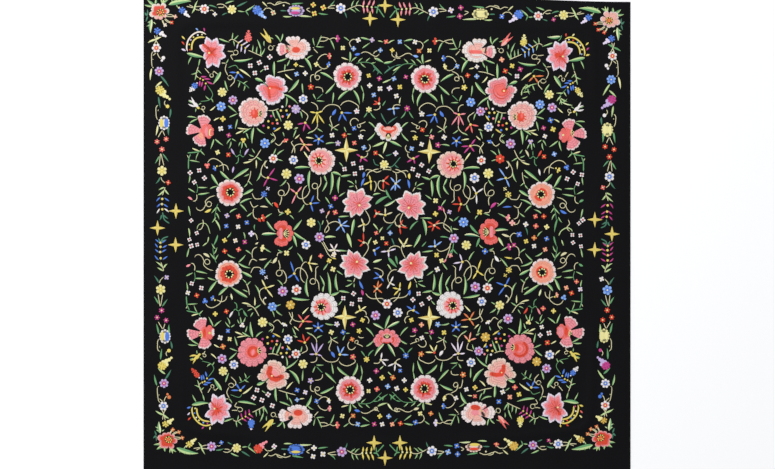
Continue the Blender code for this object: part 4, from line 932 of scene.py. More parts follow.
BORDER = {
    "leaves": """
-66.6 55.5 -64.95 56.3 .6 yl/GG/LL/LL; -66.4 55.6 -68.6 54.7 .6 yl/GG/LL/LL
-67.6 47.3 -68 44.1 .6 yl/yl/GG/LG; -65.1 45.1 -62.9 42.2 .6 DD/LL/DD/LL
-64.7 43.5 -66.5 41.9 .6 yl/LL/LL/GG; -65.7 39.1 -65.2 36.1 .6 DD/LL/GG/GG; -62.2 35.7 -62.5 33.2 .6 DD
-65.9 31 -66.4 28.2 .6 yl/GG/GG/GG; -62.7 30.6 -62.7 28.2 .6 DD/GG/GG/LL; -65.5 22.1 -66.65 20.1 .5 GG
-64.5 22.8 -62.9 20.7 .5 DG; -65.2 16.1 -66.5 14.3 .5 DD; -63.9 13.1 -65.5 12.35 .5 LL
-64.1 12.35 -65.9 10.8 .5 LL; -63.8 12.5 -62.7 11.15 .5 LL; -64.85 5.2 -65.3 3.7 .5 DD
-64.3 5.2 -62.9 4.1 .5 DD; -62.7 65.6 -56.7 66.5 1.5 GL; -61.4 66.4 -61.9 67 .4 GL
-60 66.6 -60.4 67.3 .45 GL; -58.6 66.7 -58.7 67.3 .4 GL; -60.6 65.5 -60.2 64.8 .4 GL
-55.5 64.5 -56.1 63.2 LL; -55.45 63.7 -54.4 66.7 LL; -51.3 65.4 -49 64.7 DG; -46.5 65.9 -44.1 66.65 .5 LG
-47.4 62.6 -45.9 63.2 DD; -43.2 65.1 -40.3 66.5 DD; -42.9 63.9 -41 63.7 GL; -40.7 63.8 -38.2 65.5 GL
-40.7 63.8 -39.8 62.5 GG; -35.9 66.5 -34.5 65.1 yl; -30.7 63.9 -28.8 63.85 DD; -29.9 62.3 -27.4 62.3 LL
-27.45 65.8 -24.3 66.1 GG; -25.2 62.35 -21.8 62.1 Ll; -16.5 65.3 -15.2 66.8 GG; -19.7 63.2 -17.1 62.9 GG
-10.2 65 -9.5 66.8; -8.8 65.4 -8.05 66.8; -10.7 64.5 -9.1 63.5; -9.25 64.9 -7.8 63.8
-12.25 63.5 -11.65 61.85 DD""",
    "stems": """
.45 -64.5 6.1 -64.4 5.2 -63.9 3.7 -62.3 2.4 D; .45 -3.8 65 -2.7 65 -2 66 G; .4 -2.7 65 -3 63 G
.4 -2.6 64.7 -.7 62.1 G; -66.9 57 -66.4 55.4 -65.5 53.9; -66 57 -66.4 55.4 -67 54
-67 52.3 -67.6 51.7 -67.7 50 -67.6 48.3 -67.4 47.6; -66.1 51.9 -65.6 50.7 -64.9 50; -67.4 50.9 -66.3 51.9
-67.7 50 -67 49.9; -67.6 47.8 -66.9 47.35; -63.7 38.2 -64 37.3 -63.5 36.4
-65.7 36.9 -66.4 36.1 -66.4 34.4 -66.3 33.4 -65.9 32.4; -65.7 35.7 -65.9 34.9; -64.6 29.6 -65.9 27.4
-64.6 29.6 -63.8 27.8; -65.1 23 -65.5 19.2; -65 22.9 -64.1 19.2; -65 16.2 -64.7 15.2 -63.7 14.3
-63.7 13.3 -64.6 10.7; -57.05 65.7 -55.5 64.9; -57.8 65.2 -55.5 64.7; -55.7 65 -53.3 65.2
-55.7 64.7 -54.7 64.2 -53.65 64; -51.1 63.85 -50.3 64.1 -49.7 63.5
-49.1 65.4 -48.7 65.7 -47.5 65.8 -46.5 65.3 -45.8 64.5; -48.7 64.85 -47.25 64.85 -46.65 65.2
-35.6 63.8 -35 64.5 -34.4 64.8; -34.7 65.9 -33.5 66.1 -32.2 65.5 -31.6 66.3 -30.1 66.5
-32.2 65.5 -31.1 65.9 -29.4 66.3 -27.7 65.7; -34.7 64.6 -33.7 64.6 -32.7 63.75
-22.05 64.75 -23.1 64.3 -21.9 63.4; -17.2 64.7 -16.1 65.3 -14.7 65.5; -17.2 64.7 -14.9 64.6
-11.9 64 -10.1 64.85 -8.4 65.45 -6.7 65.2""",
    "buds": """
-65.1 10.2 -66.2 9.1 .44 B/M/B/M; -64 10.1 -62.7 9.2 .44 B/M/B/M; -65 8.5 -66.1 7.5 .44 B/M/B/M
-64.3 8.4 -63 7.5 .44 B/M/B/M; -65.3 7 -66.1 5.7 .44 W/M/B/M; -64.1 7 -62.8 6 .44 W/M/B/M
-6.9 65.2 -6.6 66.8 .55 P/P/Y/Y; -6.9 65 -6.7 63.3 .55 P/P/Y/Y; -5.6 65.3 -4.9 66.9 .55 P/P/Y/Y
-5.7 64.9 -5.4 63.4 .55 P/P/Y/Y; -4.3 65.3 -3.7 66.9 .55 P/P/Y/Y; -4.4 64.7 -4.2 63.2 .55 P/P/Y/Y
-65.1 5.5 -66.1 4.2 .44 x/x/B/M; -64.2 5.5 -63.1 4.4 .44 x/x/B/M""",
    "ovals": """
-64.1 31.65 3.5 4.4 W/y/W/y; -26.2 63.9 5.2 3.5 V/y/B/i""",
    "halves": """
-64.75 31.6 1.2 2.9 Y/y/Y/y; -63.5 31.65 1.4 3 B/y/B/y; -26.3 64.55 3.3 .9 Y/y/Y/R
-26.4 63.35 3.1 1 M/y/B/Y""",
    "clusters": """
-66.05 58.1 2 B/B/Y/o 9; -65.3 41.1 2.6 Y/M/Y/M 12; -58.9 64 2 B/B/Y/o 9; -37.35 64.1 2.7 B/B/R/o 12""",
    "beads": """
-64.3 50.35 1.2 W/W/O/B; -64.7 49.6 .8 W/W/O/B; -63.1 36.4 1.2 Y/W/Y/M; -64.6 9.8 .8 Y; -64.7 8.3 .8 Y
-64.6 6.8 .8 Y; -59.8 64.75 .7 C; -35.2 62 .8 W/v/P/y; -38 64.65 .8 y; -29.7 65.4 .6 C; -6.9 65.1 .65 y
-5.7 65.1 .65 y; -4.4 64.95 .65 y; -64.6 5.4 .8 x/x/Y/Y; -65.1 57.3 1.2 W/v/y/y; -64.6 57.7 .9 W/v/y/y
-64.3 56.9 1.05 W/v/y/y; -63.7 56.6 .75 W/v/y/y; -64.9 40 1.5 y/V/y/V; -64 40.6 1.3 y/V/y/V
-64 39.5 1.4 y/V/y/V; -63.2 39.1 1.15 y/V/y/V; -62.5 38.5 .85 y/V/y/V; -58 63 1.15 W/v/y/y
-57.8 63.6 .8 W/v/y/y; -57.4 62.6 1 W/v/y/y; -56.9 62.2 .7 W/v/y/y; -36.6 63 1.4 b/v/P/y
-36 63.5 1.1 b/v/P/y; -35.8 62.4 1.2 b/v/P/y; -35 61.9 .85 b/v/P/y""",
    "blossoms": """
-66.1 26.25 1.75 Ky/Ry/My/Ry 6; -63.5 27 1.75 Ky/Ry/My/Ry 6; -64.7 24.05 1.9 Ky/Ry/My/Ry 6
-62.9 14.5 1.7 RC/KC/VC/WC 4; -49.5 62.9 1.5 WY/MY/BY/MY; -32.7 63.3 1.8 CR/BW/WM/KY
-21.2 65.6 1.8 YR/MY/WY/BY; -20.9 63.1 1.9 YR/MY/WY/BY; -18.3 64.8 2 YR/vY/WY/bY""",
    "daisies": """
-66.3 53.2 2.8 WR/WR/WB/WR; -65.5 46.5 2.8 VM/bB/VM/WB; -64.7 17.9 3 yY/WB/yY/bB
-52.5 64.4 2.9 WR/yY/VM/WB; -44.6 64.25 2.8 yY/WK/yY/VM; -13.3 64.6 3.1 WB/WB/VM/WB""",
}
CORNER = {
    "leaves": """
-67 65.5 -68.8 66.9 .9 GL; -67.3 65.2 -69.6 65.6 .7 GL; -66.6 65.9 -66.5 67.3 .7 GL
-68.8 62.5 -69.7 63.4 .6 D; -68.8 62.6 -68.9 64.2 .5 D; -68.8 62.3 -69.3 60.9 .5 D
-64.2 66.1 -63 66.9 .6 GL; -64.5 66 -64.9 67.5 .5 L; -64.4 66 -64.1 67.6 .5 L
-67.6 61.4 -67.9 57.8 1.2 Gl; -67.9 61 -68.8 60.5 .4 Gl; -68 60 -69 59.5 .4 Gl; -67.2 60.6 -66.5 60 .4 Gl""",
    "stems": """
-63.6 62.6 -62.2 62.8 -60.9 62.2; -63.7 62.3 -62.5 62.2 -60.9 62.2; -63.9 61.8 -63 61 -61.9 60.5
-64.1 61.6 -63 60.6 -61.9 60.5; -64.4 61.4 -64.3 60.6 -63.8 59.9; -64.7 61.4 -64.4 60.4 -63.8 59.9""",
    "blossoms": """
-60.9 62.2 1.4 py/Ry/Oy/Oy; -61.9 60.5 1.4 Ry/Ry/Oy/Oy; -63.8 59.8 1.4 Iy/Ry/Oy/Oy""",
}
MIDDLE = {
    "leaves": """
-2.6 55.2 -1.15 54.85 L; .4 54.5 2.1 55.4 L; -3.5 50.3 -1.15 49.1 .74; -.9 48.84 1.6 49.4 .74
-4 48.2 -1.4 45.8 .49 D; -.8 45.8 2.5 48.05 .49 D; 2.5 48.05 4.3 48.3 .33 D; 1.7 46.6 3.7 48 L
-3.1 47.3 -4 46.3 .33 D; -2.1 46.5 -2.8 45.5 .33 D; 1 47 .2 48 .33 D; -1.3 43.2 1.2 44.3 L
-1.3 36.55 -.4 38 G; 3.6 37.2 4 38.9 l; -1.7 34.5 0 31.5 .41 D; .15 31.3 2.9 33.3 .41 D
-.8 26.2 -4 24.9 .74 L; -.1 26.2 -1.05 23.1 .74 Ll; .8 26.4 4 24.9 .82 GL; -2.5 22.6 -1.05 21.4 yl
-.4 22.2 1.4 22.8 D; 2.2 19.7 3.4 18.8 D; -4 10.95 -2 11.3 .57; -3.3 8.2 .3 10.4 .9 G
-.3 12.5 1.3 9.8 .66 G; -.8 7.8 2.4 9.6 .74 lG; -4 2.7 -2.6 .9 L; -2.2 .1 -1.2 1.6 L; -.1 .9 1.6 2.7 D
1.3 -1.5 2.06 -3.6 D; -4 -8.4 -1.6 -7.6 .74 Ll; .4 -7.1 2.7 -9.7 .98 G; 2.5 -6.6 3 -8.9 .66 G
.1 -9 1.15 -10.7 L; -4 -26 -1.1 -27.6 .74 lG; .8 -23.7 -.5 -27.3 .82 GL; 3.6 -25.5 .1 -27.3 .82 lG
-.85 -31.9 -3.3 -35.2 .9 Gl; .2 -31.9 2.2 -35.3 .9 Gl; -2.1 -39.2 -1 -38.2 L; .3 -39.9 1.4 -40.9 L
-4 -48.4 -2.7 -48.4 .33 G; -2.7 -48.4 .1 -46.4 .49 G; .7 -46.3 2.6 -48.1 .49 G; 2.6 -48.1 4 -48.4 .33 G
-1.6 -47.4 -2.6 -46.8 .33 G; -1 -47.2 -1.2 -48.2 .33 G; 1.6 -47.2 2.6 -46.5 .33 G; 1.3 -47 1.1 -48 .33 G
-2.7 -49.9 0 -49 .57 L; .2 -49 1.65 -50.9 .57 l; 2 -54.4 2.95 -53.3 D; -57.1 1.4 -56.8 -1.1 L
-51.3 -1.1 -51.7 -2.8 L; -51.7 -2.8 -53 -3.8 L; -49.5 3.8 -48.1 .9 L; -48.7 -.55 -50 -3.6 G
-46 -1.3 -44.9 .1; -41.3 .2 -40.9 -1.7; -38 2.45 -38 .9 G; -34.5 3.4 -32.2 .6 .74 DL
-36 -.4 -31.9 -.3 .9 Gl; -26.9 .8 -24.6 3.65 .74 LG; -26.8 .2 -23.4 -1.9 .82 GL; -27 -.7 -26 -3.8 .82 GL
-18.4 3.65 -18.8 2.35; -17.9 -1.3 -14.9 -1.2 .66 L; -9.4 4 -10.2 -.5 .9 LG; -11.5 -.1 -10.3 -3.9 .98 L
-5.4 -3.4 -4.4 -1.4 L; 6.6 .9 8.9 3.3 G; 10.2 4 11 -.4 .98 GL; 9.6 -.4 7.8 -3.9 .9 GL
15.3 -1.15 17.7 -1.5 G; 18.9 1.3 20.5 1.1 L; 23.9 2.4 26.4 -.2 .74 G; 22.3 -.6 26.4 -1.15 .9 Dl
26.6 -1.4 25.7 -3.9 .74 G; 31 .6 34.6 .8 .82 lG; 32 -1.3 33.4 -3.7 .74 lL; 10 -3.9 11.2 -2.5 G
39.8 1.6 40.3 -.5 D; 43.3 -1 44.6 .4; 49 4 48.2 .4 G; 48 -.9 48.8 -3.7 G; 50.2 -2 50.8 -3.6 L
-4.6 48.8 -3.3 49.1; -49.3 4.6 -50.3 3.1; 49.3 4.6 50.3 3.1; -49.3 -4.6 -50.3 -3.1; 19 -4.6 17.9 -6.1 G
19 -4.6 20.3 -6 G; 19.2 3.5 20.6 4.8 G; 19 3.4 17.9 4.3 L""",
    "stems": """
-3.9 51.3 -3.6 52 -2.6 52.5; -3.8 50.7 -3 49.6; 2.6 52.2 2.8 51.3 2.6 50.4 4 50.2
1.3 51.8 1.6 50.9 2.5 50.4; 1.6 49.4 2.6 50.3; -2 36.8 -2.1 35.9 -3 35.4 -4 35.5
1.7 35.9 2.1 36.7 3 36.9 4 36.7; .3 -4 21.4 -3.4 19.8 -2.2 19.4 D; .3 .5 19.2 1.6 19.2 4 22 D
2.35 17.35 2.7 16.6 2.7 14.9 2.5 14.35; -1.3 15 -2.2 14.9 -2.6 13.8 -2 12.5 -.3 11.9
-4 15 -3.3 14.6 -3.1 13.3 -3.7 11.7; -.9 4.9 -.9 3.9 0 3 1.8 3.1 2.9 4.9 4 5.7; 2.2 3.4 2.6 2.3 3.8 1.8
.5 -5.1 .9 -4.2 2.2 -3.7 3.4 -3.95 4 -4.5; -4 -10.1 -2.8 -10.2 -1.3 -11 -1.2 -12 -1.7 -12.6
3.1 -10.6 1.9 -10.6 .9 -11.3 .2 -12.8 .6 -14.3; -3.2 -16.75 -3.2 -18.3 -2.25 -19.8 -1.2 -20.4
3.8 -17 3.1 -18.6 1.7 -19.9; -6.3 -17.2 -5.3 -18.4 -4 -18.9 -1.7 -18.8 -.8 -19.2
.6 -19.2 1.9 -18.7 4 -18.6 5.4 -18.2 6.3 -17.2; -1.9 -36.7 -2.4 -37.4 -3.3 -37.5 -4 -37.4
2.3 -37.3 2.95 -36.5 4 -36.1; -2.7 -49.9 -3.2 -50.4 -3.6 -51.2; 1.65 -50.9 2.8 -51.4 4 -51.2
-53 4 -52.8 2.6 -53.4 1.2 -54.3 .9; .25 -54.7 .9 -54.2 2.3 -52.8 2.85 -51.6 2.1 -50.8 -.4 L
-38.5 .1 -37.7 -.4 -37.2 -2.1; .3 -20 3.65 -19.2 2.2 -19.4 .4 D; -17.5 4 -16.9 2.6 -17.8 1 -17.9 0
-16.9 2.2 -16.7 1 -17.8 -.1; -17 2.5 -15.9 3.1 -14.9 3.3 -13.85 3 -13.3 2.35; 3.4 1.9 2.6 2.3 2.3 3.5
13.7 2.4 15 2.8 16.3 2.8 16.4 1.6 18.4 .1; 16.3 2.8 18 1.5 18.6 .3; .3 18.4 2.2 18.7 -.1 G
36.3 2.4 37.6 2.7 38.2 4; 37.45 -.3 36.3 -.1 35.4 -1.3 35.9 -3; 52 4 52.5 2.7 51.7 1.5 52.6 .3
.35 49.3 -.9 50.1 .6 51.7 1.5 53 1 53.3 .2 L; -18.9 -2.5 -18.1 -3.8 -17 -6 -15.7 -7.3
-18.4 -2.2 -17.6 -3.8 -16.5 -5.2 -15.2 -4.9; -17.5 4 -17.4 4.8 -16.9 5.4; 16.3 2.8 17 4.7 16.3 6.3
18.6 -2.5 17.6 -4.4 15.4 -5.3 14.1 -4.5; 18.2 -2.8 18 -4.6 17.3 -6.6 16.9 -7.6
.3 19.2 -2.8 18.9 -4.6 18.5 -6.6 G; -2.2 18.5 -1.2 18.9 -.6 19.2 .4 19 1.4 18.5
-1.4 18.2 -.4 18.3 .5 18.2 1.4 18.1""",
    "curls": """
-3.2 -50.6 .5 60 320; 2.6 -50.8 .5 200 320""",
    "buds": """
-37.9 -3.2 -37.1 -2.7 .5 C; 33 -.3 35.2 -1 .7 C; -36.9 4.3 -36.3 3.3 .9 R; -17.1 5.1 -16.5 6.3 .5 k
16.5 5.9 16.1 7.2 .5 P; 17 -7.4 16.3 -8.5 .5 P; -15.9 -7.2 -14.7 -7.5 .45 Y""",
    "blossoms": """
-.24 55 1.7 KY; -4.3 55.5 1.7 VY; 3.7 55 1.7 bY; -1.9 52.55 1.6 bY; 1.5 52.55 1.6 Yo; -2.2 44.4 1.7 MY
2 44.4 1.7 bY; -2 41.5 1.9 WY; .7 41.6 1.8 vY; 3.7 42 1.8 Yo; -3.8 39.7 1.7 bY; 2.7 39.4 1.8 WY
-3.3 23 1.7 RY; 2.5 22.9 1.8 vY; -3.1 0 1.5 KY; .9 0 1.6 bY; -1.33 -1.5 1.4 yY; -3.35 -2.65 1.6 yo
-.2 -3 1.6 RY; -3.1 -39.7 1.8 MY; 1.7 -41.6 1.8 OY; -1.4 -41.6 1.8 Yo; -2.9 -44.9 1.8 KY; .2 -44.1 1.8 bY
2.8 -44.7 1.8 WY; -2.1 -52.7 1.7 Yo; .5 -52.7 1.7 bY; -3.7 -55 1.7 MY; -1.4 -55 1.7 WY; 1.5 -55 1.7 kY
3.9 -54.8 1.7 RY; -56.3 3.6 1.5 Wr; -54.7 0 1.5 Wr; -56.8 -1.9 1.5 Wr; -54.6 -3.4 1.5 Wr; -46.2 2 1.7 BY
-42.8 1.8 1.7 WY; -40.3 3 1.7 BY; -46.7 -2.1 1.7 Yo; -43.6 -2.2 1.7 IY; -40.9 -2.6 1.7 MY; -39 -.2 2 vV
36 2.9 2 pP; 38 -.4 2 BV; 36.5 -3.5 1.7 MY; 39.9 2.5 1.8 WY; 42.8 2 1.8 KY; 45.9 1.75 1.8 yY
42.3 -1.4 1.8 OY; 40 -2.4 1.7 Yo; 45.9 -1.65 1.7 BY; 42.3 -3.8 1.7 WY; 53.3 -.55 1.5 Wr; 55.6 -.7 1.5 Wr
55.2 2.8 1.5 Wr; 53.5 -2.8 1.5 Wr; 55.8 -3.9 1.5 Wr; -5 42.4 1.7 WY; -5 -42.4 1.7 WY; 5 -42.4 1.7 WY
3.8 -39.6 1.5 BY; 56.3 3.8 1.8 Wr; -56.3 -3.8 1.8 Wr; -42.7 4.8 1.7 KY; 42.7 4.8 1.7 KY
-42.7 -4.8 1.7 KY""",
    "daisies": """
-.8 19.7 2.7 yY; 0 -20.4 3 WR; -3.3 -23.7 2.9 VM; 3.1 -22.9 3 WB; -21.8 3 2.8 yY; -23.3 -3.4 2.8 WB
-19.4 -1.2 3 VM; 19.2 -1.55 2.9 VM; 22 3.1 3 bB; 22.8 -3.5 2.9 yY""",
    "thin": """
-2.3 37.2 -2.2 38.9 -3.5 37.9 -3.8 37 RC; 1.85 35.8 .3 35.5 2.1 34.1 3.4 35.9 bC
-1.05 15 .3 16.3 .5 13.95 -1.05 12.8 RC; 2.5 14.2 1.2 15.8 3.8 15.3 3.7 13 2.35 12.4 1.2 12.5 bC
-3 5.6 -3.4 6.6 -2.1 6.15 -3.7 4.55 RC; -.5 5.2 -.5 7 -2.5 5.5 1.3 5.85 CY
-3.7 -5 -2.25 -4.1 -3.3 -6.4 BC; .4 -5.2 -1.5 -5.4 .5 -6.8 2.3 -4.6 vC
-1.86 -12.6 -3.3 -11.4 -3.7 -13.1 -1.1 -13.75 BC; .9 -14.4 1.7 -12.7 2.1 -15 .1 -15.8 WC
-2.9 -16 -2.5 -14 -1.6 -14.7 -1.6 -17.1 -3.8 -17 -3.8 -15.2 OC
3.6 -16.2 1.9 -15.8 2.2 -17.7 3.8 -14.4 YC; -1.75 -36.5 -1.5 -34.65 .2 -36.5 -.45 -38 WC
2.4 -37.4 .5 -38.2 2.2 -39.4 4 -38.4 WC; -13.2 2.2 -13.85 3.9 -11.6 3.4 -11 1.95 -12.2 .3 -14.5 .8 bC
-6.7 2.5 -7.3 4 -8.2 1.8 -6.7 .5 CY; -6.7 -2.75 -6.8 -.3 -8.2 -2 -7.7 -3.8 RC
3.6 1.9 4.4 3.55 5.6 1.5 3.9 -.1 RC; 13.6 2.2 11.9 3.2 14.9 3.5 11.9 1.7 13 .7 15.1 1.2 RC
4.8 -3.8 3.5 -1.8 5.85 -1.7 6.9 -3.6 yC; 13.8 -3.8 13.7 -2.1 15.5 -2.6 12 -3.9 bC
-15.2 -4.9 -16.2 -3.3 -14.4 -3.3 -13.6 -5.2 -14.9 -6.1 -16.5 -4.9 SC""",
    "stars": """
-65.97 1.44 2.1; -60.66 6.32 2.1; -60.8 -3.45 2.1; 64.68 -.29 2.1; 59.79 3.88 2.1; 59.79 -4.89 2.1
-4.89 61.66 2.1; -.57 65.4 2.1; 3.16 61.37 2.1; -3.74 -60.37 2.1; 3.74 -60.37 2.1; -.57 -64.68 2.1""",
}


def petals(count, radius, depth, power=0.7):
    """The outline of a small flower with round petals."""
    return lambda turn: radius * (1 - depth + depth * np.abs(np.cos(math.pi * count * turn)) ** power)


def stitch_leaf(work, n, tones):
    """From, to and width; the silks of its two sides."""
    work.leaf(*n[:4], n[4] if len(n) > 4 else 0.0, tones)


def stitch_stem(work, n, tones):
    """Points along it; a number alone before them is its width."""
    width = n.pop(0) if len(n) % 2 else 0.27
    work.cord(list(zip(n[::2], n[1::2])), width, tones)


def stitch_curl(work, n, tones):
    """Middle, radius, where it starts and how far it turns in degrees."""
    work.curl(*n, 0.24, tones)


def stitch_arc(work, n, tones):
    """Width of the band, then points along it."""
    work.cord(list(zip(n[1::2], n[2::2])), n[0], tones, 0.7)


def stitch_bud(work, n, tones):
    """From, to and width of a bud or a single petal."""
    work.leaf(*n, tones * (2 // len(tones)), None, 0.9, 0.7)


def stitch_cluster(work, n, tones):
    """Middle, width and number of the small lobes that crowd round the middle one."""
    x, y, width, count = n
    work.disc(x, y, petals(9, 0.46 * width, 0.1), "NN", 27, 2, 0.4)
    lobe = 0.32 * width
    for ring, share in ((0.0, 0.0), (0.18, 0.3), (0.37, 0.7)):
        many = max(1, round(count * share))
        for k in range(many):
            turn = math.tau * (k + ring) / many
            work.disc(x + ring * width * math.cos(turn), y + ring * width * math.sin(turn),
                      lambda turns: np.full(turns.shape, lobe / 2), tones * 3 + "N", 8, 3, 0.7, 0.3)


def stitch_fan(work, n, tones):
    """Middle, width and direction of a half flower of three petals and a pale heart."""
    x, y, width, direction = n
    reach = 0.62 * width
    for angle in (-62, 0, 62):
        turn = math.radians(direction + angle)
        work.leaf(x, y, x + reach * math.cos(turn), y + reach * math.sin(turn), 0.46 * width, tones * 2, 0.0,
                  1.5, 0.7)
    work.knot(x, y, 0.3 * width, "y", 0.4)


def stitch_bead(work, n, tones):
    """Middle and width of a round bead."""
    work.knot(*n, tones)


def ellipse(turn, across, away):
    """The reach of an ellipse at each turn, from its width and depth."""
    angle = math.tau * turn
    return 0.25 * across * away / np.hypot(0.5 * away * np.cos(angle), 0.5 * across * np.sin(angle))


def stitch_oval(work, n, tones):
    """Middle, width and depth of an oval with a scalloped rim."""
    x, y, across, away = n

    def outline(turn):
        return ellipse(turn, across, away) * (0.88 + 0.14 * np.abs(np.cos(math.pi * 12 * turn)) ** 0.6)

    work.disc(x, y, outline, tones * 3 + "N" + tones * 2, 48, 5, 0.55, count=12)


def stitch_half(work, n, tones):
    """Middle, width and depth of a plump petal inside an oval."""
    x, y, across, away = n
    work.disc(x, y, lambda turn: ellipse(turn, across, away), tones * 2, 16, 3, 0.5, 0.3)


def stitch_blossom(work, n, tones):
    """Middle and width; petals and heart. A third number is how many petals it has, if not four."""
    x, y, width = n[0], n[1], 0.95 * n[2]
    count = int(n[3]) if len(n) > 3 else 4
    turn = chance(x, y, *work.mirror) * 0.12
    if count == 4:
        turn += 0.125
    silks = tones[1] + tones[0] * 3
    work.disc(x, y, petals(count, width / 2, 0.5, 0.9), silks, 6 * count, 3, 0.75, 0.0, 0.25, turn, count)
    work.knot(x, y, width * (0.38 if tones[1] == "r" else 0.3), tones[1], 0.45)


def stitch_daisy(work, n, tones):
    """Middle and width; the silks of its rim and of its inner petals, round a yellow heart."""
    x, y, width = n
    count = 7 if chance(x, y) > 0.4 else 6
    turn = chance(y, x, *work.mirror) * 0.15
    silks = tones[1] * 3 + tones[0] * 3
    work.disc(x, y, petals(count, width / 2, 0.28), silks, 6 * count, 5, 0.8, 0.0, 0.3, turn, count)
    work.knot(x, y, width * 0.18, "y", 0.5)


def stitch_thin(work, n, tones):
    """The bulb, then the tips of its thin petals; the silks of petals and bulb."""
    x, y = n[:2]
    for tx, ty in zip(n[2::2], n[3::2]):
        work.leaf(x, y, 1.06 * tx - 0.06 * x, 1.06 * ty - 0.06 * y, 0.5, tones[0] * 2, 0.0, 1.25, 0.6)
    work.knot(x, y, 0.75, tones[1], 0.3)


def stitch_star(work, n, tones):
    """Middle and reach of a four-pointed star of the border, each blade light along one side."""
    x, y, reach = n
    for angle in (0, 90, 180, 270):
        turn = math.radians(angle)
        work.leaf(x, y, x + reach * math.cos(turn), y + reach * math.sin(turn), 0.95, tones, 0.0, 0.42, 0.6)


STITCHES = {
    # kind of row: its stitch, and its silk where the chart gives none
    "leaves": (stitch_leaf, "GL"), "stems": (stitch_stem, "C"), "curls": (stitch_curl, "C"),
    "arcs": (stitch_arc, "Y"), "buds": (stitch_bud, "C"), "clusters": (stitch_cluster, "R"),
    "beads": (stitch_bead, "Y"), "ovals": (stitch_oval, "W"), "halves": (stitch_half, "Y"),
    "blossoms": (stitch_blossom, "WR"), "daisies": (stitch_daisy, "WB"), "thin": (stitch_thin, "BC"),
    "stars": (stitch_star, "Yg"), "fans": (stitch_fan, "K"),
}


def stitch(work, quarter, chart, kinds):
    """Works the rows of these kinds of a chart, in the silks of one quarter."""
    for kind in kinds:
        maker, plain = STITCHES[kind]
        for n, words in rows(chart[kind]):
            choices = (words[0] if words else plain).split("/")
            tones = choices[quarter % len(choices)]
            if tones != "x":
                maker(work, n, tones)


def in_quarters(name, material, slot, chart, *kinds):
    """One piece of small embroidery over the whole cloth, its chart worked in each quarter in turn."""
    work = Needlework()
    for quarter, mirror in enumerate(QUARTERS.values()):
        work.mirror = mirror
        stitch(work, quarter, chart, kinds)
    work.piece(name, material, slot)


def in_middle(name, material, slot, *kinds):
    """One piece of the small embroidery along the middle lines, worked once and just where its chart says."""
    work = Needlework(steady=True)
    stitch(work, 0, MIDDLE, kinds)
    work.piece(name, material, slot)


SPAN = ("From Min", "From Max", "To Min", "To Max")
CREPE_PEBBLE = (0.8 * MM, 1.0 * MM, 1.0 * MM)
# The petals of a large flower: half the number of scallops and of stitches round it, and its rows of petals
PETAL_SCALLOPS = 6.0
PETAL_STITCHES = 19.0
PETAL_ROWS = 6.2


def finish_shader(tree, shader, colour, height, strength, depth, settings):
    """Gives a shader its colour, a relief from a height pattern and its other settings."""
    relief = add_node(tree, "ShaderNodeBump", {"Strength": strength, "Distance": depth}, {"Height": height})
    tree.links.new(colour, shader.inputs["Base Color"])
    tree.links.new(relief.outputs["Normal"], shader.inputs["Normal"])
    for name, value in settings.items():
        shader.inputs[name].default_value = value


def floss_material(name, streak=0.9, run=14.0, roughness=0.38, bump=0.22, contrast=0.16):
    """Untwisted silk floss laid in satin stitches: each thread catches the light by itself, which gives the
    eye fine parallel streaks along the stitches and a soft sheen. The streaks, whose width and length are in
    millimetres, are drawn coarser than the real threads, so that they show."""
    material, tree, shader = new_material(name)
    colour = add_node(tree, "ShaderNodeAttribute", {"attribute_name": "floss"})
    thread = add_node(tree, "ShaderNodeAttribute", {"attribute_name": "thread"})
    scaled = add_node(tree, "ShaderNodeVectorMath", {"operation": "MULTIPLY", 1: (1 / streak, 1 / run, 7.0)},
                      {0: thread.outputs["Vector"]})
    fibres = add_node(tree, "ShaderNodeTexNoise", {"Scale": 1.0, "Detail": 2.0, "Roughness": 0.6},
                      {"Vector": scaled.outputs[0]})
    span = (0.3, 0.7, 1 - contrast, 1 + contrast * 0.4)
    shade = add_node(tree, "ShaderNodeMapRange", dict(zip(SPAN, span)), {"Value": fibres.outputs["Fac"]})
    tinted = add_node(tree, "ShaderNodeVectorMath", {"operation": "SCALE"},
                      {0: colour.outputs["Color"], "Scale": shade.outputs["Result"]})
    finish_shader(tree, shader, tinted.outputs[0], fibres.outputs["Fac"], bump, 0.6 * MM, {
        "Roughness": roughness, "Specular IOR Level": 0.25, "Sheen Weight": 0.08, "Sheen Roughness": 0.4})
    return material


def shaded_black(tree, pattern, span):
    """The black of the crepe, which a pattern makes lighter and darker."""
    shade = add_node(tree, "ShaderNodeMapRange", dict(zip(SPAN, span)), {"Value": pattern})
    black = tuple(bpy.context.scene.shawl_cloth.black[:3])
    tinted = add_node(tree, "ShaderNodeVectorMath", {"operation": "SCALE", 0: black},
                      {"Scale": shade.outputs["Result"]})
    return tinted.outputs[0]


def crepe_material():
    """Silk crepe, woven from hard twisted yarns: the twist crinkles the weave, which gives a matt black with
    a fine pebble and next to no shine. The pebble is drawn coarser than the real one, so that it shows."""
    material, tree, shader = new_material("black_silk_crepe")
    place = add_node(tree, "ShaderNodeTexCoord").outputs["Object"]
    weave = add_node(tree, "ShaderNodeMapping", {"Scale": tuple(1 / size for size in CREPE_PEBBLE)},
                     {"Vector": place})
    crinkle = add_node(tree, "ShaderNodeTexNoise",
                       {"Scale": 1.0, "Detail": 3.0, "Roughness": 0.65, "Distortion": 0.6},
                       {"Vector": weave.outputs["Vector"]}).outputs["Fac"]
    broad = add_node(tree, "ShaderNodeTexNoise", {"Scale": 9.0, "Detail": 2.0}, {"Vector": place})
    both = add_node(tree, "ShaderNodeMath", {"operation": "MULTIPLY_ADD", 1: 0.35},
                    {0: broad.outputs["Fac"], 2: crinkle})
    colour = shaded_black(tree, both.outputs["Value"], (0.35, 1.0, 0.55, 1.5))
    finish_shader(tree, shader, colour, crinkle, 0.35, 0.4 * MM, {
        "Roughness": 0.62, "Specular IOR Level": 0.07, "Sheen Weight": 0.0})
    return material


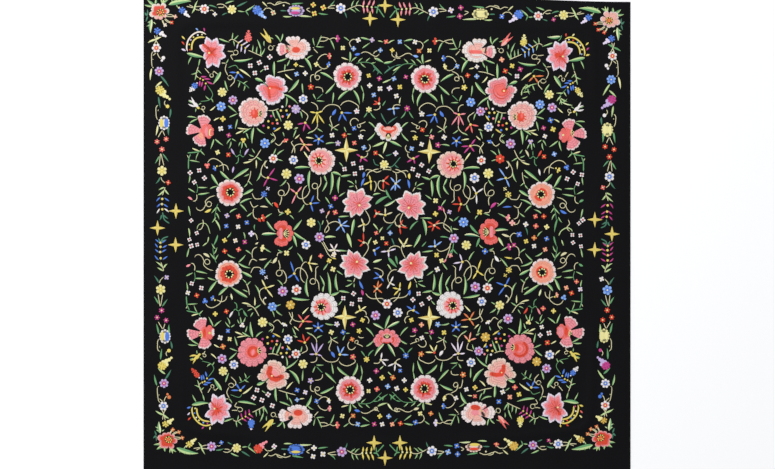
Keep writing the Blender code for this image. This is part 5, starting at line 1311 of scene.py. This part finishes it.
def hem_material():
    """The same crepe rolled over and slip-stitched: the stitches draw the roll in, a pinch about every 5
    millimetres."""
    material, tree, shader = new_material("rolled_silk_hem")
    place = add_node(tree, "ShaderNodeTexCoord").outputs["Object"]
    pinch = add_node(tree, "ShaderNodeTexNoise", {"Scale": 190.0, "Detail": 2.0, "Roughness": 0.55},
                     {"Vector": place}).outputs["Fac"]
    colour = shaded_black(tree, pinch, (0.3, 0.7, 0.5, 1.6))
    finish_shader(tree, shader, colour, pinch, 0.5, 0.6 * MM, {"Roughness": 0.55, "Specular IOR Level": 0.09})
    return material


def petal_material():
    """Silk floss in the petals of the large flowers: rows of stitches laid edge to edge, one behind the
    other, which leave thin dark gaps between the rows and notches between the stitches of the rim."""
    material = floss_material("petal_stitched_floss", 0.9, 14.0, 0.4, 0.3, 0.22)
    tree = material.node_tree
    petal = add_node(tree, "ShaderNodeAttribute", {"attribute_name": "petal"}).outputs["Vector"]
    parts = add_node(tree, "ShaderNodeSeparateXYZ", links={"Vector": petal})
    known = dict(zip(("across", "away", "rows"), parts.outputs))
    steps = [
        # what it gives, its operation or ramp, and numbers or what is known already
        ("out", "MULTIPLY", "across", "across"), ("side", "MULTIPLY", "away", "away"),
        ("out", "ADD", "out", "side"), ("out", "SQRT", "out"), ("turn", "ARCTAN2", "away", "across"),
        ("scallop", "MULTIPLY", "turn", PETAL_SCALLOPS), ("scallop", "SINE", "scallop"),
        ("scallop", "ABSOLUTE", "scallop"), ("row", "MULTIPLY_ADD", "scallop", -0.055, "out"),
        ("row", "MULTIPLY", "row", PETAL_ROWS), ("row", "FRACT", "row"), ("gap", "RAMP", "row", 0.74, 0.97),
        ("inside", "RAMP", "out", 0.22, 0.4), ("gap", "MULTIPLY", "gap", "inside"),
        ("gap", "MULTIPLY", "gap", "rows"), ("comb", "MULTIPLY", "turn", PETAL_STITCHES),
        ("comb", "SINE", "comb"), ("comb", "ABSOLUTE", "comb"), ("notch", "RAMP", "comb", 0.34, 0.0),
        ("rim", "RAMP", "out", 0.78, 0.96), ("notch", "MULTIPLY", "notch", "rim"),
        ("dark", "MAXIMUM", "gap", "notch"), ("keep", "MULTIPLY_ADD", "dark", -0.62, 1.0),
    ]
    for name, operation, *values in steps:
        numbers = {k: value for k, value in enumerate(values) if not isinstance(value, str)}
        links = {k: known[value] for k, value in enumerate(values) if isinstance(value, str)}
        if operation == "RAMP":
            node = add_node(tree, "ShaderNodeMapRange", numbers, links)
        else:
            node = add_node(tree, "ShaderNodeMath", {"operation": operation, **numbers}, links)
        known[name] = node.outputs[0]
    colour = tree.nodes["Principled BSDF"].inputs["Base Color"]
    shaded = add_node(tree, "ShaderNodeVectorMath", {"operation": "SCALE"},
                      {0: colour.links[0].from_socket, "Scale": known["keep"]})
    tree.links.new(shaded.outputs[0], colour)
    return material


def petal_floss():
    """The floss of the large flowers' petals, made once."""
    return bpy.data.materials.get("petal_stitched_floss") or petal_material()


def floss():
    """The floss that satin stitches are worked in, made once."""
    return bpy.data.materials.get("satin_stitched_floss") or floss_material("satin_stitched_floss")


def stem_floss():
    """The floss of stem stitches, made once: shorter stitches that lie a little aslant."""
    name = "stem_stitched_floss"
    return bpy.data.materials.get(name) or floss_material(name, 0.8, 5.0, 0.42, 0.3)


def smooth_step(t):
    """0 up to t = 0 and 1 from t = 1, with level ends."""
    t = np.clip(t, 0.0, 1.0)
    return t * t * (3 - 2 * t)


def seam_lines(x, half):
    """The inner lines of the near and the far hem at x."""
    peak, inset = FAR_PEAK * half, HEM_WIDTH + SEAM_GAP
    right, left = smooth_step((x - peak) / (half - peak)), smooth_step((peak - x) / (half + peak))
    far = half - FAR_FALLS[1] * right - FAR_FALLS[0] * left
    near = -half + NEAR_RISE * smooth_step(np.abs(x) / half)
    return near + inset, far - inset


def make_crepe():
    """The square of crepe, woven in one width and laid flat, with soft swells in its plain band."""
    cloth = bpy.context.scene.shawl_cloth
    half = cloth.side / 2
    edge = half - HEM_WIDTH - SEAM_GAP
    bm = bmesh.new()
    bmesh.ops.create_grid(bm, x_segments=CREPE_CELLS, y_segments=CREPE_CELLS, size=edge)
    bm.verts.ensure_lookup_table()
    u, v = (np.array([vert.co[k] for vert in bm.verts]) for k in (0, 1))
    x, y = laid(np.clip(u, -PATTERN_END, PATTERN_END), np.clip(v, -PATTERN_END, PATTERN_END))
    x += (np.copysign(edge, u) - x) * np.clip((np.abs(u) - PATTERN_END) / (edge - PATTERN_END), 0, 1)
    near, far = seam_lines(x, half)
    y += (np.where(v > 0, far, near) - y) * np.clip((np.abs(v) - PATTERN_END) / (edge - PATTERN_END), 0, 1)
    low = lift(u, v)
    tucked_x, tucked_y = np.abs(u) > edge - 1e-5, np.abs(v) > edge - 1e-5
    x += np.where(tucked_x, np.sign(u) * TUCK, 0)
    y += np.where(tucked_y, np.sign(v) * TUCK, 0)
    raised = bmesh.ops.extrude_face_region(bm, geom=bm.faces[:])["geom"]
    for part in raised:
        if isinstance(part, bmesh.types.BMVert):
            part.co.z = 1.0
    bm.verts.ensure_lookup_table()
    place = {(round(a, 6), round(b, 6)): k for k, (a, b) in enumerate(zip(u, v))}
    for vert in bm.verts:
        k = place[(round(vert.co.x, 6), round(vert.co.y, 6))]
        wall = TUCK_WALL if tucked_x[k] or tucked_y[k] else cloth.thickness
        vert.co = (x[k], y[k], low[k] + vert.co.z * wall)
    bmesh.ops.recalc_face_normals(bm, faces=bm.faces[:])
    if bm.calc_volume(signed=True) < 0:
        bmesh.ops.reverse_faces(bm, faces=bm.faces[:])
    mesh = bpy.data.meshes.new("crepe_square")
    bm.to_mesh(mesh)
    bm.free()
    mesh.materials.append(crepe_material())
    mesh.shade_smooth()
    mesh.set_sharp_from_angle(angle=math.radians(50))
    crepe = new_object("crepe_square", mesh)
    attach(crepe, "root")
    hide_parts("panel")
    hems = [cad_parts["hem_" + side] for side in ("far", "near", "left", "right")]
    finish = hem_material()
    for hem in hems:
        hem.data.materials.clear()
        hem.data.materials.append(finish)


def make_field_star(name, place, mirror):
    """The four-pointed star of the field: two-tone blades that lie off each side of its points."""
    work = Needlework(mirror)
    for angle, reach in STAR_BLADES:
        turn = math.radians(angle)
        tip = (place[0] + reach * math.cos(turn), place[1] + reach * math.sin(turn))
        work.leaf(*place, *tip, 1.3, "gy", 0.0, 0.42, 0.8, 0.1)
    work.piece(name, floss(), "pale_gold", name)


def make_large_flowers(kinds):
    """The large flowers of the chart in each quarter, each in place of its pad in the source."""
    for kind in kinds:
        *place, strays = LARGE_FLOWERS[kind]
        for quarter, (name, mirror) in enumerate(QUARTERS.items()):
            if kind == "field_star":
                make_field_star(f"{kind}_{name}", place, mirror)
            else:
                slot = SLOTS[kind][quarter % len(SLOTS[kind])]
                large_flower(f"{kind}_{name}", kind, place, mirror, strays[quarter], quarter, slot)


def make_middle_flowers():
    """The poppies on the line across the middle and the folded roses on the line away from the viewer."""
    for name, kind, look, slot, right, away, across, depth, dx, dy in MIDDLE_FLOWERS:
        large_flower(name, kind, (right * across, away * depth), (across, depth), (dx, dy), look, slot)


def silk_colour(name, colour):
    """The property of one silk."""
    words = name.replace("_", " ")
    return bpy.props.FloatVectorProperty(name=words.capitalize(), description=f"Colour of the {words} floss",
                                         size=4, subtype="COLOR", min=0.0, max=1.0, default=linear(colour))


class ShawlCloth(bpy.types.PropertyGroup):
    """The sizes and the colour of the crepe"""
    side: bpy.props.FloatProperty(
        name="Side", description="Length of one side of the square with its hems",
        default=1.400, min=1.0, max=2.0, unit="LENGTH")
    thickness: bpy.props.FloatProperty(
        name="Thickness", description="Height of the crepe's face above its back",
        default=0.0015, min=0.0005, max=0.003, unit="LENGTH")
    black: bpy.props.FloatVectorProperty(
        name="Black", description="Colour of the crepe and its hems", size=4, subtype="COLOR",
        min=0.0, max=1.0, default=linear("0b0b0d"))


class ShawlSilks(bpy.types.PropertyGroup):
    """The colours of the silk floss"""
    __annotations__ = {name: silk_colour(name, colour) for name, colour in SILKS.values()}


class ShawlStage(bpy.types.PropertyGroup):
    """The camera, the light and the floor"""
    camera_height: bpy.props.FloatProperty(
        name="Camera height", description="Height of the camera above the cloth",
        default=5.262, min=1.0, max=20.0, unit="LENGTH")
    lens: bpy.props.FloatProperty(
        name="Lens", description="Focal length of the camera", default=85.0, min=20.0, max=200.0,
        unit="CAMERA")
    sky: bpy.props.FloatProperty(
        name="Sky", description="Brightness of the even light from all round", default=0.74, min=0.0, max=5.0)
    lamp: bpy.props.FloatProperty(
        name="Lamp", description="Power of the wide soft lamp", default=130.0, min=0.0, max=5000.0,
        unit="POWER")
    floor: bpy.props.FloatVectorProperty(
        name="Floor", description="Colour of the floor", size=4, subtype="COLOR", min=0.0, max=1.0,
        default=linear("fcfcfc"))


class SHAWL_OT_crepe_square(bpy.types.Operator):
    """Makes the square of black crepe and finishes its rolled hems"""
    bl_idname = "shawl.crepe_square"
    bl_label = "Crepe Square and Hems"

    def execute(self, context):
        make_crepe()
        return {"FINISHED"}


class SHAWL_OT_round_flowers(bpy.types.Operator):
    """Embroiders the round peonies and roses"""
    bl_idname = "shawl.round_flowers"
    bl_label = "Peonies and Roses"

    def execute(self, context):
        make_large_flowers(list(SCALLOPED))
        return {"FINISHED"}


class SHAWL_OT_petalled_flowers(bpy.types.Operator):
    """Embroiders the peonies in profile, the folded roses, the irises and the corner flowers"""
    bl_idname = "shawl.petalled_flowers"
    bl_label = "Petalled Flowers"

    def execute(self, context):
        make_large_flowers(["peony_edge", "rose_heart", "iris", "corner_flower"])
        return {"FINISHED"}


class SHAWL_OT_pointed_flowers(bpy.types.Operator):
    """Embroiders the lilies and the stars of the field"""
    bl_idname = "shawl.pointed_flowers"
    bl_label = "Lilies and Stars"

    def execute(self, context):
        make_large_flowers(["lily_outer", "lily_inner", "field_star"])
        return {"FINISHED"}


class SHAWL_OT_middle_flowers(bpy.types.Operator):
    """Embroiders the poppies and folded roses on the lines through the middle"""
    bl_idname = "shawl.middle_flowers"
    bl_label = "Middle Flowers"

    def execute(self, context):
        make_middle_flowers()
        return {"FINISHED"}


class SHAWL_OT_stems(bpy.types.Operator):
    """Embroiders the stems and tendrils in stem stitch"""
    bl_idname = "shawl.stems"
    bl_label = "Stems and Tendrils"

    def execute(self, context):
        in_quarters("stems_and_tendrils", stem_floss(), "cream_beige", FIELD, "stems", "curls")
        return {"FINISHED"}


class SHAWL_OT_leaves(bpy.types.Operator):
    """Embroiders the two-tone leaves"""
    bl_idname = "shawl.leaves"
    bl_label = "Leaves"

    def execute(self, context):
        in_quarters("leaves", floss(), "leaf_green", FIELD, "leaves")
        return {"FINISHED"}


class SHAWL_OT_buds(bpy.types.Operator):
    """Embroiders the buds and single petals"""
    bl_idname = "shawl.buds"
    bl_label = "Buds"

    def execute(self, context):
        in_quarters("buds_and_single_petals", floss(), "blue_lilac", FIELD, "buds", "clusters")
        return {"FINISHED"}


class SHAWL_OT_arcs(bpy.types.Operator):
    """Embroiders the crescents, arches and rows of beads"""
    bl_idname = "shawl.arcs"
    bl_label = "Crescents and Beads"

    def execute(self, context):
        in_quarters("crescents_and_beads", floss(), "pale_gold", FIELD, "arcs", "beads")
        return {"FINISHED"}


class SHAWL_OT_blossoms(bpy.types.Operator):
    """Embroiders the small flowers of three to six petals"""
    bl_idname = "shawl.blossoms"
    bl_label = "Small Flowers"

    def execute(self, context):
        in_quarters("small_flowers", floss(), "blue_lilac", FIELD, "blossoms", "fans")
        return {"FINISHED"}


class SHAWL_OT_daisies(bpy.types.Operator):
    """Embroiders the daisies"""
    bl_idname = "shawl.daisies"
    bl_label = "Daisies"

    def execute(self, context):
        in_quarters("daisies", floss(), "blue_lilac", FIELD, "daisies")
        return {"FINISHED"}


class SHAWL_OT_thin_flowers(bpy.types.Operator):
    """Embroiders the flowers with thin petals round a bulb"""
    bl_idname = "shawl.thin_flowers"
    bl_label = "Thin-petalled Flowers"

    def execute(self, context):
        in_quarters("thin_petalled_flowers", floss(), "blue_lilac", FIELD, "thin")
        return {"FINISHED"}


class SHAWL_OT_border(bpy.types.Operator):
    """Embroiders the sprays of the border: stems, leaves, buds, ovals, chevrons and flowers"""
    bl_idname = "shawl.border"
    bl_label = "Border"

    def execute(self, context):
        in_quarters("border_stems", stem_floss(), "cream_beige", BORDER, "stems")
        in_quarters("border_leaves", floss(), "leaf_green", BORDER, "leaves")
        in_quarters("border_flowers", floss(), "blue_lilac", BORDER, "buds", "ovals", "halves", "clusters",
                    "beads", "blossoms", "daisies")
        return {"FINISHED"}


class SHAWL_OT_corner_sprays(bpy.types.Operator):
    """Embroiders the leaves and small buds round the corner flowers"""
    bl_idname = "shawl.corner_sprays"
    bl_label = "Corner Sprays"

    def execute(self, context):
        in_quarters("corner_sprays", floss(), "leaf_green", CORNER, "leaves", "stems", "blossoms")
        return {"FINISHED"}


class SHAWL_OT_middle_sprays(bpy.types.Operator):
    """Embroiders the small motifs along the two lines through the middle, which differ on each side"""
    bl_idname = "shawl.middle_sprays"
    bl_label = "Middle Sprays"

    def execute(self, context):
        in_middle("middle_stems", stem_floss(), "cream_beige", "stems", "curls")
        in_middle("middle_leaves", floss(), "leaf_green", "leaves")
        in_middle("middle_motifs", floss(), "blue_lilac", "buds", "blossoms", "daisies", "thin", "stars")
        return {"FINISHED"}


# The stage, in metres and degrees
FLOOR_REACH = 6.0
FLOOR_HEIGHT = -0.2 * MM
LAMP_PLACE = (-1.8, 2.2, 4.4)
LAMP_TURN = (-26, -21, 0)
LAMP_SIZE = 3.0
CAMERA_PLACE = (1.4 * MM, 4.3 * MM)


class SHAWL_OT_stage(bpy.types.Operator):
    """Makes the floor, the light and the camera"""
    bl_idname = "shawl.stage"
    bl_label = "Stage"

    def execute(self, context):
        stage = context.scene.shawl_stage
        material, _, shader = new_material("plain_floor")
        shader.inputs["Base Color"].default_value = stage.floor
        shader.inputs["Roughness"].default_value = 0.9
        shader.inputs["Specular IOR Level"].default_value = 0.1
        bm = bmesh.new()
        bmesh.ops.create_grid(bm, x_segments=1, y_segments=1, size=FLOOR_REACH)
        for vert in bm.verts:
            vert.co.z = FLOOR_HEIGHT
        mesh = bpy.data.meshes.new("floor")
        bm.to_mesh(mesh)
        bm.free()
        mesh.materials.append(material)
        floor = new_object("floor", mesh)
        world = bpy.data.worlds.new("studio")
        world.use_nodes = True
        background = world.node_tree.nodes["Background"]
        background.inputs["Color"].default_value = linear("fbfcff")
        background.inputs["Strength"].default_value = stage.sky
        context.scene.world = world
        lamp = bpy.data.lights.new("wide_lamp", "AREA")
        lamp.energy, lamp.shape, lamp.size = stage.lamp, "DISK", LAMP_SIZE
        lamp_object = new_object("wide_lamp", lamp)
        lamp_object.location = LAMP_PLACE
        lamp_object.rotation_euler = [math.radians(turn) for turn in LAMP_TURN]
        camera = bpy.data.cameras.new("camera")
        camera.lens, camera.sensor_width, camera.clip_end = stage.lens, 36.0, 50.0
        camera_object = new_object("camera", camera)
        camera_object.location = (*CAMERA_PLACE, stage.camera_height)
        context.scene.camera = camera_object
        context.scene.view_settings.view_transform = "Standard"
        return {"FINISHED"}


OPERATORS = [
    SHAWL_OT_stage, SHAWL_OT_crepe_square, SHAWL_OT_round_flowers, SHAWL_OT_petalled_flowers,
    SHAWL_OT_pointed_flowers, SHAWL_OT_middle_flowers, SHAWL_OT_stems, SHAWL_OT_leaves, SHAWL_OT_buds,
    SHAWL_OT_arcs, SHAWL_OT_blossoms, SHAWL_OT_daisies, SHAWL_OT_thin_flowers, SHAWL_OT_border,
    SHAWL_OT_corner_sprays, SHAWL_OT_middle_sprays,
]


class SHAWL_PT_panel(bpy.types.Panel):
    """Lists the shawl's sizes, silks and pieces"""
    bl_idname = "SHAWL_PT_panel"
    bl_label = "Embroidered Shawl"
    bl_space_type = "VIEW_3D"
    bl_region_type = "UI"
    bl_category = "Shawl"

    def draw(self, context):
        for group in (context.scene.shawl_cloth, context.scene.shawl_stage, context.scene.shawl_silks):
            box = self.layout.box()
            for name in group.__annotations__:
                box.prop(group, name)
        for operator in OPERATORS:
            self.layout.operator(operator.bl_idname)


CLASSES = [ShawlCloth, ShawlSilks, ShawlStage, *OPERATORS, SHAWL_PT_panel]


def register():
    for item in CLASSES:
        bpy.utils.register_class(item)
    bpy.types.Scene.shawl_cloth = bpy.props.PointerProperty(type=ShawlCloth)
    bpy.types.Scene.shawl_silks = bpy.props.PointerProperty(type=ShawlSilks)
    bpy.types.Scene.shawl_stage = bpy.props.PointerProperty(type=ShawlStage)


def unregister():
    del bpy.types.Scene.shawl_stage
    del bpy.types.Scene.shawl_silks
    del bpy.types.Scene.shawl_cloth
    for item in reversed(CLASSES):
        bpy.utils.unregister_class(item)


def main():
    register()
    for operator in OPERATORS:
        group, name = operator.bl_idname.split(".")
        getattr(getattr(bpy.ops, group), name)()


if __name__ == "__main__":
    main()
